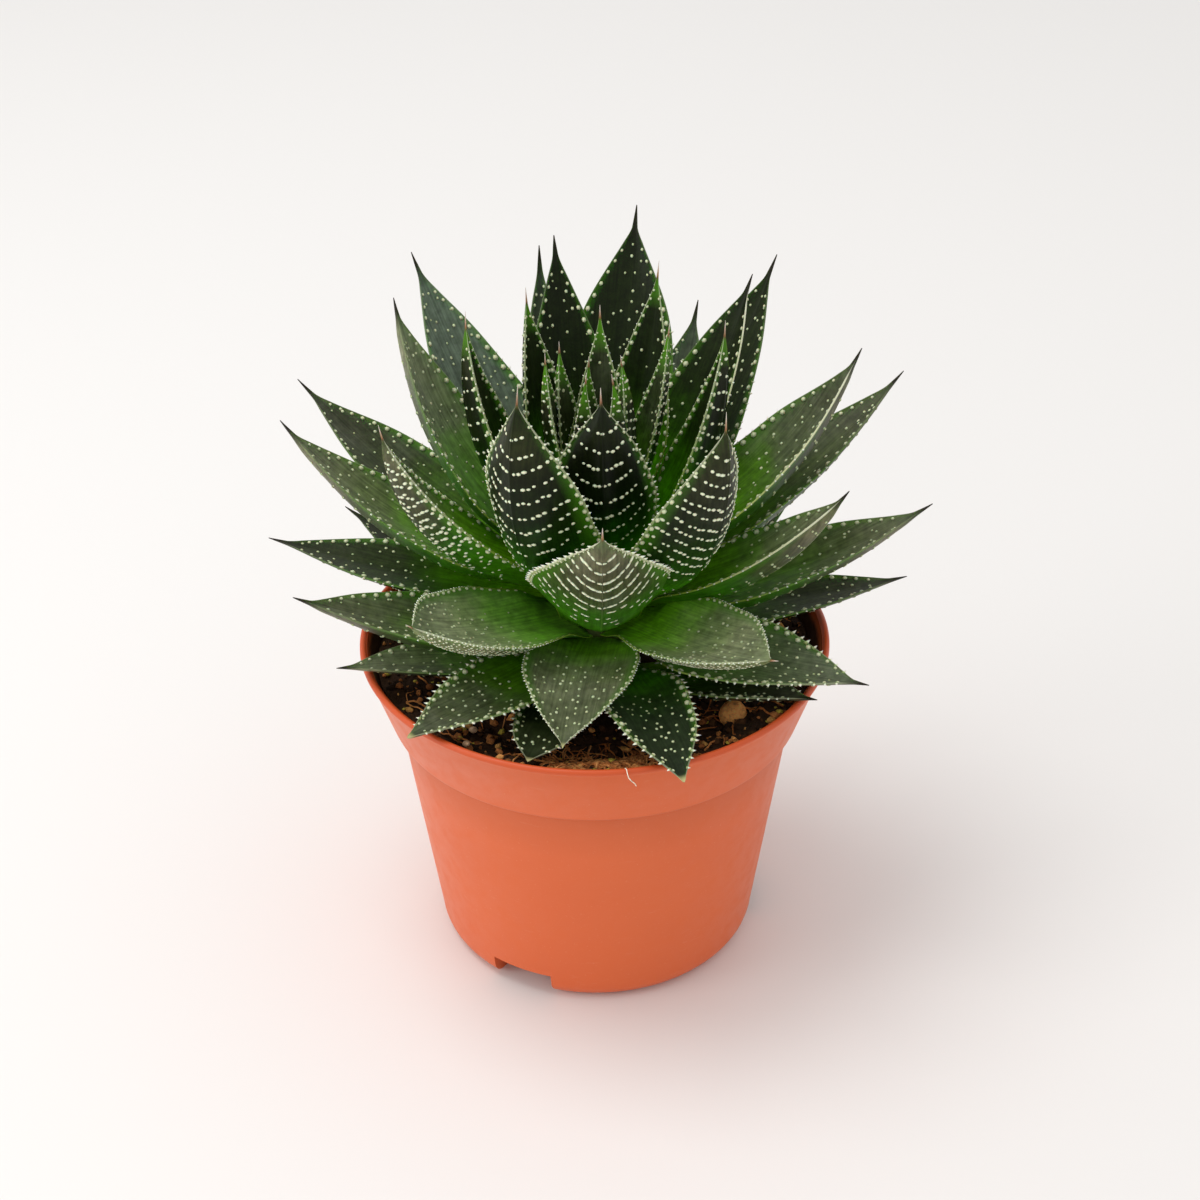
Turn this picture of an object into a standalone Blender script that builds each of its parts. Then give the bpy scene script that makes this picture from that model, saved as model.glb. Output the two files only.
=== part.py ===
"""A potted lace aloe: a rosette of thick toothed leaves on a short stem, in dark peat, in a
12 cm orange nursery pot. Sizes are in millimetres. Z is up and the foot of the pot is at 0.
"""

import bmesh
import bpy
import numpy as np
from math import cos, pi, radians, sin, tau

MM = 0.001

# Pot
RIM_RADIUS = 60.0
POT_HEIGHT = 88.5
COLLAR_DROP = 20.0
COLLAR_FOOT_RADIUS = 53.6
STEP_HEIGHT = POT_HEIGHT - COLLAR_DROP
STEP_DEPTH = 2.2
STEP_FALL = 0.9
WALL_TOP_RADIUS = COLLAR_FOOT_RADIUS - STEP_DEPTH
BASE_RADIUS = 42.0
WALL_SLOPE = (WALL_TOP_RADIUS - BASE_RADIUS) / (STEP_HEIGHT - STEP_FALL)
COLLAR_SLOPE = (RIM_RADIUS - COLLAR_FOOT_RADIUS) / COLLAR_DROP
CORNER_RADIUS = 5.5
WALL = 1.3
LIP_BEAD = 0.5
FOOT_RING_WIDTH = 3.5
FOOT_RECESS = 7.5
FOOT_PAD_RADIUS = 10.0
FLOOR = FOOT_RECESS + WALL
POT_SIDES = 45
POT_COLOUR = (0.78, 0.22, 0.09)

# Notches in the foot ring and drain holes. The first drain azimuth keeps the holes off the
# spokes of the pot's floor.
NOTCH_COUNT = 3
NOTCH_FIRST_AZIMUTH = 242.0
NOTCH_WIDTH = 17.0
NOTCH_DEPTH = 20.0
NOTCH_HEIGHT = 7.5
DRAIN_COUNT = 6
DRAIN_RADIUS = 4.0
DRAIN_CIRCLE = 24.0
DRAIN_FIRST_AZIMUTH = 13.0
DRAIN_SIDES = 10

# Soil
GAP = 0.3
SOIL_TOP = POT_HEIGHT - 13.0
SOIL_MOUND = 1.0
SOIL_RISE = 6.5
SOIL_RISE_FROM = 38.0
SOIL_RISE_OVER = 15.0
SOIL_ROUGHNESS = 0.8
SOIL_CHAMFER = 1.5
SOIL_SIDES = 36
SOIL_RINGS = 8
SOIL_COLOUR = (0.045, 0.026, 0.014)
STONES = (("pebble", 32.0, -17.0, 4.6), ("perlite", -30.5, -28.5, 2.2))
STONE_SHAPE = (1.0, 0.8, 0.75)
STONE_TURN = (0.3, 0.2, 0.6)

# Stem and plant
PLANT_OFFSET = 1.2
STEM_RADIUS = 9.7
STEM_FOOT = POT_HEIGHT - 32.0
STEM_SHOULDER = POT_HEIGHT + 26.0
STEM_TOP = POT_HEIGHT + 29.0
STEM_TOP_RADIUS = 6.0
STEM_SIDES = 20
STEM_COLOUR = (0.16, 0.30, 0.06)
LEAF_START = STEM_RADIUS + 0.4
LEAF_COLOUR = (0.06, 0.16, 0.03)
HEART_START = 3.0
HEART_FOOT = STEM_TOP - POT_HEIGHT + 1.5
HEART_CORE_RADIUS = 5.5
HEART_CORE_HEIGHT = 24.0
HEART_CORE_SIDES = 12
HEART_COLOUR = (0.10, 0.26, 0.04)

# Leaf form, as shares of the length, width or thickness of the leaf. The blade of a leaf
# that has lost its awn goes on nearly to the tip.
STATIONS = 14
HEART_STATIONS = 6
AWN_START = 0.94
NO_AWN = 0.985
BASE_WIDTH = 0.3
FULL_WIDTH_AT = 0.38
BASE_THICKNESS = 0.55
FLANK_OUT = 0.62
FLANK_DEEP = 0.62
FLANK_RISE = 0.45
FOLD_STARTS_OVER = 0.15
BUMPS_FROM = 0.35
BUMP_OUT_ABOVE = 0.4
BUMP_OUT_BELOW = 0.33

# Sizes of the small parts of a leaf
AWN_RADIUS = 0.6
TOOTH = 1.2
BUMP = 0.6


class Leaf:
    """One leaf. The azimuth is in degrees, counted from the right of the pot and seen from
    above; base, reach and tip are the height of the root, the distance of the tip from the
    stem's axis and the height of the tip, with both heights counted from the rim. Blade is
    the share of the length that the blade takes, before the thin awn, and root is the share
    of the width that it has at the stem."""

    def __init__(self, name, azimuth, base, reach, tip, bow, width, fold=0.3, thick=5.0,
                 sweep=0.0, roll=0.0, taper=4.5, bend=0.5, blade=AWN_START,
                 root=BASE_WIDTH):
        self.name = name
        self.azimuth = radians(azimuth)
        self.base = POT_HEIGHT + base
        self.reach = reach
        self.tip = POT_HEIGHT + tip
        self.bow = bow
        self.width = width
        self.fold = fold
        self.thick = thick
        self.sweep = sweep
        self.roll = radians(roll)
        self.taper = taper
        self.bend = bend
        self.blade = blade
        self.root = root


# The columns are azimuth, base, reach, tip, bow and width.
LEAVES = [
    Leaf("leaf_01", 82, 17, 62, 92, 6, 30, sweep=-2, taper=5),
    Leaf("leaf_02", 105, 21, 41, 93, 4, 25, taper=3.5),
    Leaf("leaf_03", 106, 2, 65, 80, 10, 18, sweep=-3, taper=4),
    Leaf("leaf_04", 129, 16, 71, 83, 7, 28, sweep=4, taper=4),
    Leaf("leaf_05", 164, 18, 52, 87, 8, 26, sweep=-2),
    Leaf("leaf_06", 146, 13, 94, 48, 7, 27, sweep=3),
    Leaf("leaf_07", 177, 15, 78, 60, 8, 25),
    Leaf("leaf_08", 199, 17, 54, 69, 8, 20, fold=0.4, thick=6, sweep=-2, taper=4, bend=0.6),
    Leaf("leaf_09", 148, -2, 81, 13, 3, 23, fold=0.25),
    Leaf("leaf_10", 168, 10, 88, 18, 2, 24, fold=0.2),
    Leaf("leaf_11", 199, 0, 78, 26, 3, 25, sweep=-2, roll=-4),
    Leaf("leaf_12", 221, 9, 62, 30, 4, 27, fold=0.35, sweep=2, roll=-8, taper=6, bend=0.65,
         root=0.7),
    Leaf("leaf_13", 196, -6, 69, 4, 0, 20, fold=0.2, thick=4, sweep=3, taper=4),
    Leaf("leaf_14", 230, -3, 68, 3, -1, 25, fold=0.2, thick=4, sweep=-3, taper=4, blade=NO_AWN),
    Leaf("leaf_15", 261, 5, 57, 4, -3, 29, fold=0.2, thick=6, taper=4, blade=NO_AWN, root=0.5),
    Leaf("leaf_16", 252, -7, 56, -2, -1, 18, fold=0.2, thick=4, taper=8, blade=NO_AWN),
    Leaf("leaf_17", 287, -5, 70, 2, -4, 22, fold=0.2, sweep=-1, taper=5, blade=NO_AWN),
    Leaf("leaf_18", 329, 2, 75, 8, 0, 28, fold=0.25, sweep=2, roll=6, taper=4),
    Leaf("leaf_19", 311, 9, 64, 23, 2, 26, fold=0.35, roll=8, taper=5, bend=0.6, root=0.65),
    Leaf("leaf_20", 326, -8, 64, 3, 0, 20, fold=0.2, thick=4, taper=4),
    Leaf("leaf_21", 8, 0, 81, 9, 1, 20, fold=0.25, thick=4),
    Leaf("leaf_22", 347, 12, 62, 48, 6, 22, fold=0.4, sweep=2),
    Leaf("leaf_23", 5, 6, 85, 33, 5, 25, fold=0.35),
    Leaf("leaf_24", 23, 14, 85, 58, 6, 23, fold=0.35, sweep=-1),
    Leaf("leaf_25", 13, 20, 67, 73, 8, 27, fold=0.4),
    Leaf("leaf_26", 55, 8, 77, 78, 5, 26, fold=0.35, sweep=-4),
    Leaf("leaf_27", 45, 22, 56, 82, 4, 22, fold=0.4),
    Leaf("leaf_28", 70, 3, 81, 58, 8, 25),
    Leaf("leaf_29", 61, 25, 32, 91, 3, 22, fold=0.35, taper=2.6),
    Leaf("leaf_30", 4, 23, 31, 86, 5, 20, fold=0.45, sweep=2, taper=3),
    Leaf("leaf_31", 313, 18, 43, 80, 10, 31, fold=0.4, thick=6, taper=5, root=0.9),
    Leaf("leaf_32", 238, 18, 34, 86, 10, 31, fold=0.4, thick=6, taper=5, root=0.75),
    Leaf("leaf_33", 273, 22, 15, 78, 7, 27, fold=0.4, thick=5, taper=5, root=0.5),
    Leaf("leaf_34", 271, 11, 54, 63, 6, 36, fold=0.45, thick=5, taper=3.6, root=0.55),
    Leaf("leaf_35", 171, 22, 32, 88, 6, 22, fold=0.45, sweep=-1, taper=2.8),
    Leaf("leaf_36", 134, 25, 26, 88, 3, 19, fold=0.45, sweep=-1, taper=2.6),
    Leaf("leaf_37", 90, 0, 76, 23, 4, 21),
    Leaf("leaf_38", 134, 5, 76, 28, 6, 23),
    Leaf("leaf_39", 41, 1, 78, 24, 4, 23),
    Leaf("leaf_40", 64, -6, 76, 9, 0, 21, fold=0.25, thick=4),
    Leaf("leaf_41", 110, -6, 74, 7, 0, 21, fold=0.25, thick=4),
]

HEART_LEAVES = [
    Leaf("heart_1", 85, HEART_FOOT, 9, 88, 2, 18, thick=4, taper=2.2),
    Leaf("heart_2", 140, HEART_FOOT, 12, 79, 2, 12, thick=4, taper=2.4),
    Leaf("heart_3", 165, HEART_FOOT, 13, 78, 2, 12, thick=4, taper=2.4),
    Leaf("heart_4", 120, HEART_FOOT, 4, 77, 1, 10, thick=4, taper=2.4),
    Leaf("heart_5", 330, HEART_FOOT, 4, 75, 2, 12, thick=4, taper=2.4),
    Leaf("heart_6", 20, HEART_FOOT, 6, 78, 2, 12, thick=4, taper=2.4),
    Leaf("heart_7", 230, HEART_FOOT, 4, 76, 2, 12, thick=4, taper=2.4),
    Leaf("heart_8", 28, HEART_FOOT, 20, 83, 3, 13, thick=4, taper=2.4),
]

# Where two leaves would cross, the first is pressed clear of the second.
PRESSED = [
    ("leaf_14", "leaf_11"), ("leaf_41", "leaf_37"), ("leaf_26", "leaf_24"),
    ("leaf_24", "leaf_22"), ("leaf_11", "leaf_10"), ("leaf_08", "leaf_07"),
    ("leaf_27", "leaf_29"), ("leaf_06", "leaf_07"), ("leaf_37", "leaf_03"),
    ("leaf_15", "leaf_12"), ("leaf_16", "leaf_14"), ("leaf_13", "leaf_14"),
    ("leaf_38", "leaf_10"), ("leaf_34", "leaf_31"), ("leaf_38", "leaf_03"),
    ("leaf_36", "leaf_02"), ("leaf_04", "leaf_05"), ("leaf_40", "leaf_37"),
    ("leaf_17", "leaf_18"), ("leaf_23", "leaf_18"), ("leaf_40", "leaf_39"),
    ("leaf_21", "leaf_39"), ("leaf_39", "leaf_28"), ("leaf_08", "leaf_05"),
    ("leaf_15", "leaf_17"), ("leaf_08", "leaf_32"), ("leaf_19", "leaf_34"),
    ("leaf_19", "leaf_22"), ("leaf_35", "leaf_36"), ("leaf_10", "leaf_06"),
    ("leaf_28", "leaf_03"), ("leaf_12", "leaf_34"), ("leaf_10", "leaf_12"),
    ("leaf_32", "leaf_31"), ("leaf_33", "leaf_31"), ("leaf_33", "leaf_32"),
    ("leaf_27", "leaf_01"), ("leaf_32", "leaf_34"), ("leaf_25", "leaf_31"),
]
PRESS_GAP = 0.6


# Scene helpers

def clear_scene():
    for thing in list(bpy.data.objects):
        bpy.data.objects.remove(thing, do_unlink=True)


def new_collection(name):
    group = bpy.data.collections.new(name)
    bpy.context.scene.collection.children.link(group)
    return group


def material(name, colour, roughness):
    paint = bpy.data.materials.new(name)
    paint.use_nodes = True
    shader = paint.node_tree.nodes["Principled BSDF"]
    shader.inputs["Base Color"].default_value = (*colour, 1.0)
    shader.inputs["Roughness"].default_value = roughness
    paint.diffuse_color = (*colour, 1.0)
    return paint


def mesh_object(name, points, faces, group):
    """An object in metres from points in millimetres."""
    mesh = bpy.data.meshes.new(name)
    mesh.from_pydata([tuple(MM * value for value in point) for point in points], [], faces)
    mesh.validate()
    body = bpy.data.objects.new(name, mesh)
    group.objects.link(body)
    return body


def spin(name, profile, sides, group):
    """A body turned round the Z axis by a Screw modifier."""
    points = [(radius, 0.0, height) for radius, height in profile]
    edges = [(i, i + 1) for i in range(len(points) - 1)]
    mesh = bpy.data.meshes.new(name)
    mesh.from_pydata([tuple(MM * value for value in point) for point in points], edges, [])
    body = bpy.data.objects.new(name, mesh)
    group.objects.link(body)
    screw = body.modifiers.new("Screw", "SCREW")
    screw.steps = sides
    screw.render_steps = sides
    screw.use_merge_vertices = True
    screw.merge_threshold = 0.00001
    return body


def boolean(body, other, operation):
    tool = body.modifiers.new(operation.title() + " " + other.name, "BOOLEAN")
    tool.operation = operation
    tool.object = other
    tool.solver = "EXACT"


def as_cutter(thing, cutters):
    """Moves a helper object to the collection of cutters and hides it in renders."""
    for group in list(thing.users_collection):
        group.objects.unlink(thing)
    cutters.objects.link(thing)
    thing.hide_render = True
    thing.display_type = "WIRE"
    return thing


def cylinder(name, radius, low, high, x, y, sides, group):
    ring = [(x + radius * cos(tau * i / sides), y + radius * sin(tau * i / sides))
            for i in range(sides)]
    points = [(px, py, low) for px, py in ring] + [(px, py, high) for px, py in ring]
    faces = [tuple(reversed(range(sides))), tuple(range(sides, 2 * sides))]
    for i in range(sides):
        j = (i + 1) % sides
        faces.append((i, j, sides + j, sides + i))
    return mesh_object(name, points, faces, group)


# Pot

def outer_radius(height):
    """Radius of the plain outer wall, under the step or over it."""
    if height < STEP_HEIGHT:
        return BASE_RADIUS + WALL_SLOPE * height
    return COLLAR_FOOT_RADIUS + COLLAR_SLOPE * (height - STEP_HEIGHT)


def pot_profile():
    """From the middle of the floor inside, up the wall and over the lip, then down the outer
    side and under the foot to the axis. The foot ring and the round pad in the middle of the
    underside are solid under the floor."""
    inside = [
        (0.0, FLOOR),
        (outer_radius(FLOOR) - WALL - 1.0, FLOOR),
        (outer_radius(FLOOR + 1.0) - WALL, FLOOR + 1.0),
        (WALL_TOP_RADIUS - WALL, STEP_HEIGHT - STEP_FALL - 0.6),
        (COLLAR_FOOT_RADIUS - WALL, STEP_HEIGHT + 0.6),
        (RIM_RADIUS - WALL - 0.1, POT_HEIGHT - 0.7),
        (RIM_RADIUS - WALL + 0.3, POT_HEIGHT - 0.1),
    ]
    outside = [
        (RIM_RADIUS - 0.2, POT_HEIGHT),
        (RIM_RADIUS + LIP_BEAD - 0.1, POT_HEIGHT - 0.4),
        (RIM_RADIUS + LIP_BEAD, POT_HEIGHT - 1.0),
        (RIM_RADIUS - 0.3, POT_HEIGHT - 1.8),
        (COLLAR_FOOT_RADIUS + 0.1, STEP_HEIGHT + 0.5),
        (COLLAR_FOOT_RADIUS - 0.3, STEP_HEIGHT),
        (WALL_TOP_RADIUS, STEP_HEIGHT - STEP_FALL),
    ]
    corner = outer_radius(CORNER_RADIUS) - CORNER_RADIUS
    foot = [(corner + CORNER_RADIUS * cos(turn), CORNER_RADIUS * (1.0 - sin(turn)))
            for turn in (0.0, pi / 6, pi / 3, pi / 2)]
    ring = corner - FOOT_RING_WIDTH
    underside = [(ring, 0.0), (ring - 0.8, FOOT_RECESS),
                 (FOOT_PAD_RADIUS + 0.8, FOOT_RECESS), (FOOT_PAD_RADIUS, 0.0), (0.0, 0.0)]
    return inside + outside + foot + underside


def build_pot(parts, cutters):
    pot = spin("pot", pot_profile(), POT_SIDES, parts)
    for i in range(DRAIN_COUNT):
        angle = radians(DRAIN_FIRST_AZIMUTH) + tau * i / DRAIN_COUNT
        hole = cylinder("drain_%d" % (i + 1), DRAIN_RADIUS, -1.0, FLOOR + 1.0,
                        DRAIN_CIRCLE * cos(angle), DRAIN_CIRCLE * sin(angle),
                        DRAIN_SIDES, cutters)
        boolean(pot, as_cutter(hole, cutters), "DIFFERENCE")
    for i in range(NOTCH_COUNT):
        angle = radians(NOTCH_FIRST_AZIMUTH + 360.0 * i / NOTCH_COUNT)
        bpy.ops.mesh.primitive_cube_add(size=MM)
        notch = bpy.context.object
        notch.name = "notch_%d" % (i + 1)
        notch.scale = (NOTCH_DEPTH, NOTCH_WIDTH, 2.0 * NOTCH_HEIGHT)
        notch.rotation_euler = (0.0, 0.0, angle)
        notch.location = (BASE_RADIUS * cos(angle) * MM, BASE_RADIUS * sin(angle) * MM, 0.0)
        boolean(pot, as_cutter(notch, cutters), "DIFFERENCE")
    pot.data.materials.append(material("pot_plastic", POT_COLOUR, 0.45))
    return pot


# Soil and stem

def soil_relief(x, y):
    """Height of the crumbs of peat over a smooth bed, from a few crossing waves."""
    coarse = sin(0.31 * x + 1.3 * sin(0.23 * y)) * cos(0.27 * y + 0.8 * sin(0.19 * x))
    fine = sin(0.83 * x + 2.1 + 0.9 * sin(0.61 * y)) * sin(0.71 * y + 0.4)
    return SOIL_ROUGHNESS * (0.65 * coarse + 0.35 * fine)


def soil_height(x, y):
    """The bed is hollow where the plant stands and rises towards the wall of the pot."""
    radius = np.hypot(x, y)
    mound = SOIL_MOUND * (1.0 - (radius / RIM_RADIUS) ** 2)
    rise = SOIL_RISE * smooth_step((radius - SOIL_RISE_FROM) / SOIL_RISE_OVER)
    return SOIL_TOP + mound + rise + soil_relief(x, y)


def build_soil(parts, cutters):
    gap = WALL + 2.5 * GAP
    shoulder = SOIL_TOP + SOIL_RISE - SOIL_CHAMFER
    edge = outer_radius(shoulder) - gap
    top = [(edge * (i + 0.5) / (SOIL_RINGS + 0.5), SOIL_TOP) for i in range(SOIL_RINGS)]
    profile = [(0.0, SOIL_TOP)] + top + [
        (edge, shoulder),
        (COLLAR_FOOT_RADIUS - gap, STEP_HEIGHT + 1.0),
        (WALL_TOP_RADIUS - gap, STEP_HEIGHT - STEP_FALL - 1.0),
        (outer_radius(FLOOR + 2.0) - gap, FLOOR + 2.0),
        (outer_radius(FLOOR) - gap - 2.0, FLOOR + GAP),
        (0.0, FLOOR + GAP),
    ]
    soil = spin("soil", profile, SOIL_SIDES, parts)
    apply_modifiers(soil)
    for vertex in soil.data.vertices:
        x, y, z = vertex.co / MM
        if abs(z - SOIL_TOP) < 0.1:
            vertex.co.z = MM * soil_height(x, y)
    hole = cylinder("stem_hole", STEM_RADIUS + GAP, STEM_FOOT - GAP, POT_HEIGHT,
                    PLANT_OFFSET, 0.0, STEM_SIDES, cutters)
    boolean(soil, as_cutter(hole, cutters), "DIFFERENCE")
    for name, x, y, size in STONES:
        boolean(soil, as_cutter(stone(name, x, y, size), cutters), "UNION")
    soil.data.materials.append(material("peat", SOIL_COLOUR, 0.95))
    return soil


def stone(name, x, y, size):
    """The tan pebble or the grain of perlite seen in the peat, sunk nearly half way."""
    bpy.ops.mesh.primitive_ico_sphere_add(subdivisions=2, radius=size * MM)
    made = bpy.context.object
    made.name = name
    made.scale = STONE_SHAPE
    made.rotation_euler = STONE_TURN
    made.location = (x * MM, y * MM, (SOIL_TOP + 0.4 * size) * MM)
    return made


def build_stem(parts):
    profile = [
        (0.0, STEM_TOP),
        (STEM_TOP_RADIUS, STEM_TOP),
        (STEM_RADIUS, STEM_SHOULDER),
        (STEM_RADIUS, STEM_FOOT + 4.0),
        (STEM_RADIUS - 3.0, STEM_FOOT),
        (0.0, STEM_FOOT),
    ]
    stem = spin("stem", profile, STEM_SIDES, parts)
    stem.location.x = PLANT_OFFSET * MM
    stem.data.materials.append(material("stem_flesh", STEM_COLOUR, 0.6))
    return stem


# Leaves

def smooth_step(value):
    value = np.clip(value, 0.0, 1.0)
    return value * value * (3.0 - 2.0 * value)


def blade_left(shares, blade, power):
    """1 along the blade, falling to 0 where the awn starts."""
    return np.clip(1.0 - (shares / blade) ** power, 0.0, 1.0)


def width_share(leaf, shares):
    grown = leaf.root + (1.0 - leaf.root) * smooth_step(shares / FULL_WIDTH_AT)
    return grown * blade_left(shares, leaf.blade, leaf.taper) ** 1.4


def thickness_share(leaf, shares):
    grown = BASE_THICKNESS + (1.0 - BASE_THICKNESS) * smooth_step(shares / FULL_WIDTH_AT)
    return grown * blade_left(shares, leaf.blade, 2.6)


def midline(leaf, start, shares):
    """Points down the middle of the upper face, on one bent curve from root to tip."""
    outward = np.array((cos(leaf.azimuth), sin(leaf.azimuth), 0.0))
    sideways = np.array((-sin(leaf.azimuth), cos(leaf.azimuth), 0.0))
    root = np.array((start, leaf.base))
    chord = np.array((leaf.reach, leaf.tip)) - root
    below = np.array((chord[1], -chord[0])) / np.linalg.norm(chord)
    knee = leaf.bend * chord + 2.0 * leaf.bow * below
    t = shares[:, None]
    path = root + 2.0 * t * (1.0 - t) * knee + t * t * chord
    points = path[:, :1] * outward + path[:, 1:] * np.array((0.0, 0.0, 1.0))
    points = points + leaf.sweep * t * t * sideways
    points[:, 0] += PLANT_OFFSET
    return points, sideways


def frames(points, sideways, roll):
    """The direction along the leaf, across it and up from its upper face at each point."""
    along = np.gradient(points, axis=0)
    along /= np.linalg.norm(along, axis=1)[:, None]
    across = sideways - (along @ sideways)[:, None] * along
    across /= np.linalg.norm(across, axis=1)[:, None]
    upward = np.cross(along, across)
    return (across * cos(roll) + upward * sin(roll),
            upward * cos(roll) - across * sin(roll))


def leaf_mesh(leaf, start, stations):
    """Rings of six points, a tooth on each margin between two rings, and raised bumps."""
    count = 2 * stations - 1
    shares = np.linspace(0.0, 1.0, 2 * stations + 1)[:count] * leaf.blade / (1.0 - 1.0 / stations)
    shares = np.minimum(shares, leaf.blade)
    every = np.append(shares, 1.0)
    middle, sideways = midline(leaf, start, every)
    across, upward = frames(middle, sideways, leaf.roll)
    half = AWN_RADIUS + (0.5 * leaf.width - AWN_RADIUS) * width_share(leaf, every)
    deep = AWN_RADIUS + (leaf.thick - AWN_RADIUS) * thickness_share(leaf, every)
    lift = leaf.fold * half * smooth_step(every / FOLD_STARTS_OVER)

    def spot(i, side, height):
        return middle[i] + side * across[i] + height * upward[i]

    def flank(i, sign):
        return spot(i, sign * FLANK_OUT * half[i], FLANK_RISE * lift[i] - FLANK_DEEP * deep[i])

    points = []
    rings = []
    for i in range(0, count, 2):
        rings.append(range(len(points), len(points) + 6))
        points += [spot(i, half[i], lift[i]), spot(i, 0.0, 0.0), spot(i, -half[i], lift[i]),
                   flank(i, -1.0), spot(i, 0.0, -deep[i]), flank(i, 1.0)]
    faces = [tuple(rings[0])]
    for n in range(len(rings) - 1):
        a, b = rings[n], rings[n + 1]
        i = 2 * n + 1
        tooth = TOOTH * smooth_step((shares[i] - 0.1) / 0.25)
        for sign, margin, under in ((1.0, 0, 5), (-1.0, 2, 3)):
            tip = len(points)
            points.append(spot(i, sign * (half[i] + tooth), lift[i] + 0.3 * tooth))
            faces.append((a[margin], tip, a[1]))
            faces.append((tip, b[margin], b[1]))
            faces.append((a[margin], tip, a[under]))
            faces.append((tip, b[margin], b[under]))
            faces.append((tip, a[under], b[under]))
            if n % 2 and shares[i] > BUMPS_FROM:
                top = len(points)
                points.append(spot(i, sign * BUMP_OUT_ABOVE * half[i],
                                   BUMP_OUT_ABOVE * lift[i] + BUMP))
                faces += [(tip, top, a[1]), (a[1], top, b[1]), (b[1], top, tip)]
            else:
                faces.append((tip, a[1], b[1]))
            quad = (a[under], b[under], b[4], a[4])
            if (n + (sign > 0)) % 2 and shares[i] > BUMPS_FROM:
                top = len(points)
                between = BUMP_OUT_BELOW / FLANK_OUT
                depth = deep[i] * (1.0 - between * (1.0 - FLANK_DEEP))
                points.append(spot(i, sign * BUMP_OUT_BELOW * half[i],
                                   between * FLANK_RISE * lift[i] - depth - BUMP))
                faces += [(quad[k], quad[(k + 1) % 4], top) for k in range(4)]
            else:
                faces += [(quad[0], quad[1], quad[2]), (quad[0], quad[2], quad[3])]
    end = len(points)
    points.append(middle[-1])
    last = rings[-1]
    faces += [(last[k], last[(k + 1) % 6], end) for k in range(6)]
    return points, faces


def solid(name, points, faces, group):
    body = mesh_object(name, points, faces, group)
    shape = bmesh.new()
    shape.from_mesh(body.data)
    bmesh.ops.recalc_face_normals(shape, faces=shape.faces)
    shape.to_mesh(body.data)
    shape.free()
    return body


def build_leaf(leaf, parts):
    points, faces = leaf_mesh(leaf, LEAF_START, STATIONS)
    body = solid(leaf.name, points, faces, parts)
    body.data.materials.append(material(leaf.name + "_flesh", LEAF_COLOUR, 0.4))
    return body


def press_clear(bodies, cutters):
    """Cuts a leaf by a slightly grown copy of each neighbour that it would cross."""
    for pressed, neighbour in PRESSED:
        grown = bodies[neighbour].copy()
        grown.data = bodies[neighbour].data.copy()
        grown.name = "grown_" + neighbour
        cutters.objects.link(grown)
        swell = grown.modifiers.new("Grow", "DISPLACE")
        swell.strength = PRESS_GAP * MM
        swell.mid_level = 0.0
        boolean(bodies[pressed], grown, "DIFFERENCE")
        apply_modifiers(bodies[pressed])
        bpy.data.objects.remove(grown, do_unlink=True)


def build_heart(parts, cutters):
    """The youngest leaves, still pressed together, joined with a filling core as one piece."""
    bodies = []
    for leaf in HEART_LEAVES:
        points, faces = leaf_mesh(leaf, HEART_START, HEART_STATIONS)
        bodies.append(solid(leaf.name, points, faces, cutters))
    core = cylinder("heart", HEART_CORE_RADIUS, STEM_TOP + GAP, STEM_TOP + HEART_CORE_HEIGHT,
                    PLANT_OFFSET, 0.0, HEART_CORE_SIDES, parts)
    pressed = bpy.data.collections.new("heart_leaves")
    for body in bodies:
        pressed.objects.link(body)
    join = core.modifiers.new("Join leaves", "BOOLEAN")
    join.operation = "UNION"
    join.operand_type = "COLLECTION"
    join.collection = pressed
    join.solver = "EXACT"
    apply_modifiers(core)
    for body in bodies:
        bpy.data.objects.remove(body, do_unlink=True)
    bpy.data.collections.remove(pressed)
    core.data.materials.append(material("heart_flesh", HEART_COLOUR, 0.4))
    return core


def apply_modifiers(body):
    graph = bpy.context.evaluated_depsgraph_get()
    finished = bpy.data.meshes.new_from_object(body.evaluated_get(graph))
    body.modifiers.clear()
    body.data = finished


def shade_round(body):
    for face in body.data.polygons:
        face.use_smooth = True


def main():
    clear_scene()
    parts = new_collection("potted_lace_aloe")
    cutters = new_collection("cutters")
    pot = build_pot(parts, cutters)
    build_soil(parts, cutters)
    stem = build_stem(parts)
    leaves = {leaf.name: build_leaf(leaf, parts) for leaf in LEAVES}
    press_clear(leaves, cutters)
    build_heart(parts, cutters)
    for body in (pot, stem):
        shade_round(body)


main()
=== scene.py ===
"""Looks of the potted lace aloe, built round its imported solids.

Sizes are in millimetres and turned to metres where a mesh is made. Z is up, the foot of the pot
is at 0 and -Y faces the camera.
"""

from math import cos, pi, radians, sin, tan, tau

import bpy
import numpy as np
from mathutils import Matrix, Vector, noise


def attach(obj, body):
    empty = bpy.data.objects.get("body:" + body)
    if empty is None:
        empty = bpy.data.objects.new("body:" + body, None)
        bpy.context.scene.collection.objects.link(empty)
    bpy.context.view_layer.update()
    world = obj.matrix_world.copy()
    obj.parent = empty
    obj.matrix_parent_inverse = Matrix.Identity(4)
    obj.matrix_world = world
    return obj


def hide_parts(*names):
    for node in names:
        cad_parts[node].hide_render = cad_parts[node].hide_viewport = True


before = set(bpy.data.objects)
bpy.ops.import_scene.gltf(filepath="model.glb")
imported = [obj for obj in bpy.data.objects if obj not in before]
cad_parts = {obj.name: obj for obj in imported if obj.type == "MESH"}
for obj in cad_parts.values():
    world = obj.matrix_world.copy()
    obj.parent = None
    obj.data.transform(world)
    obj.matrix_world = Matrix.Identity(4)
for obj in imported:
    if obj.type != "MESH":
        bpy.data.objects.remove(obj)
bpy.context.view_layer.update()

MM = 0.001

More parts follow.
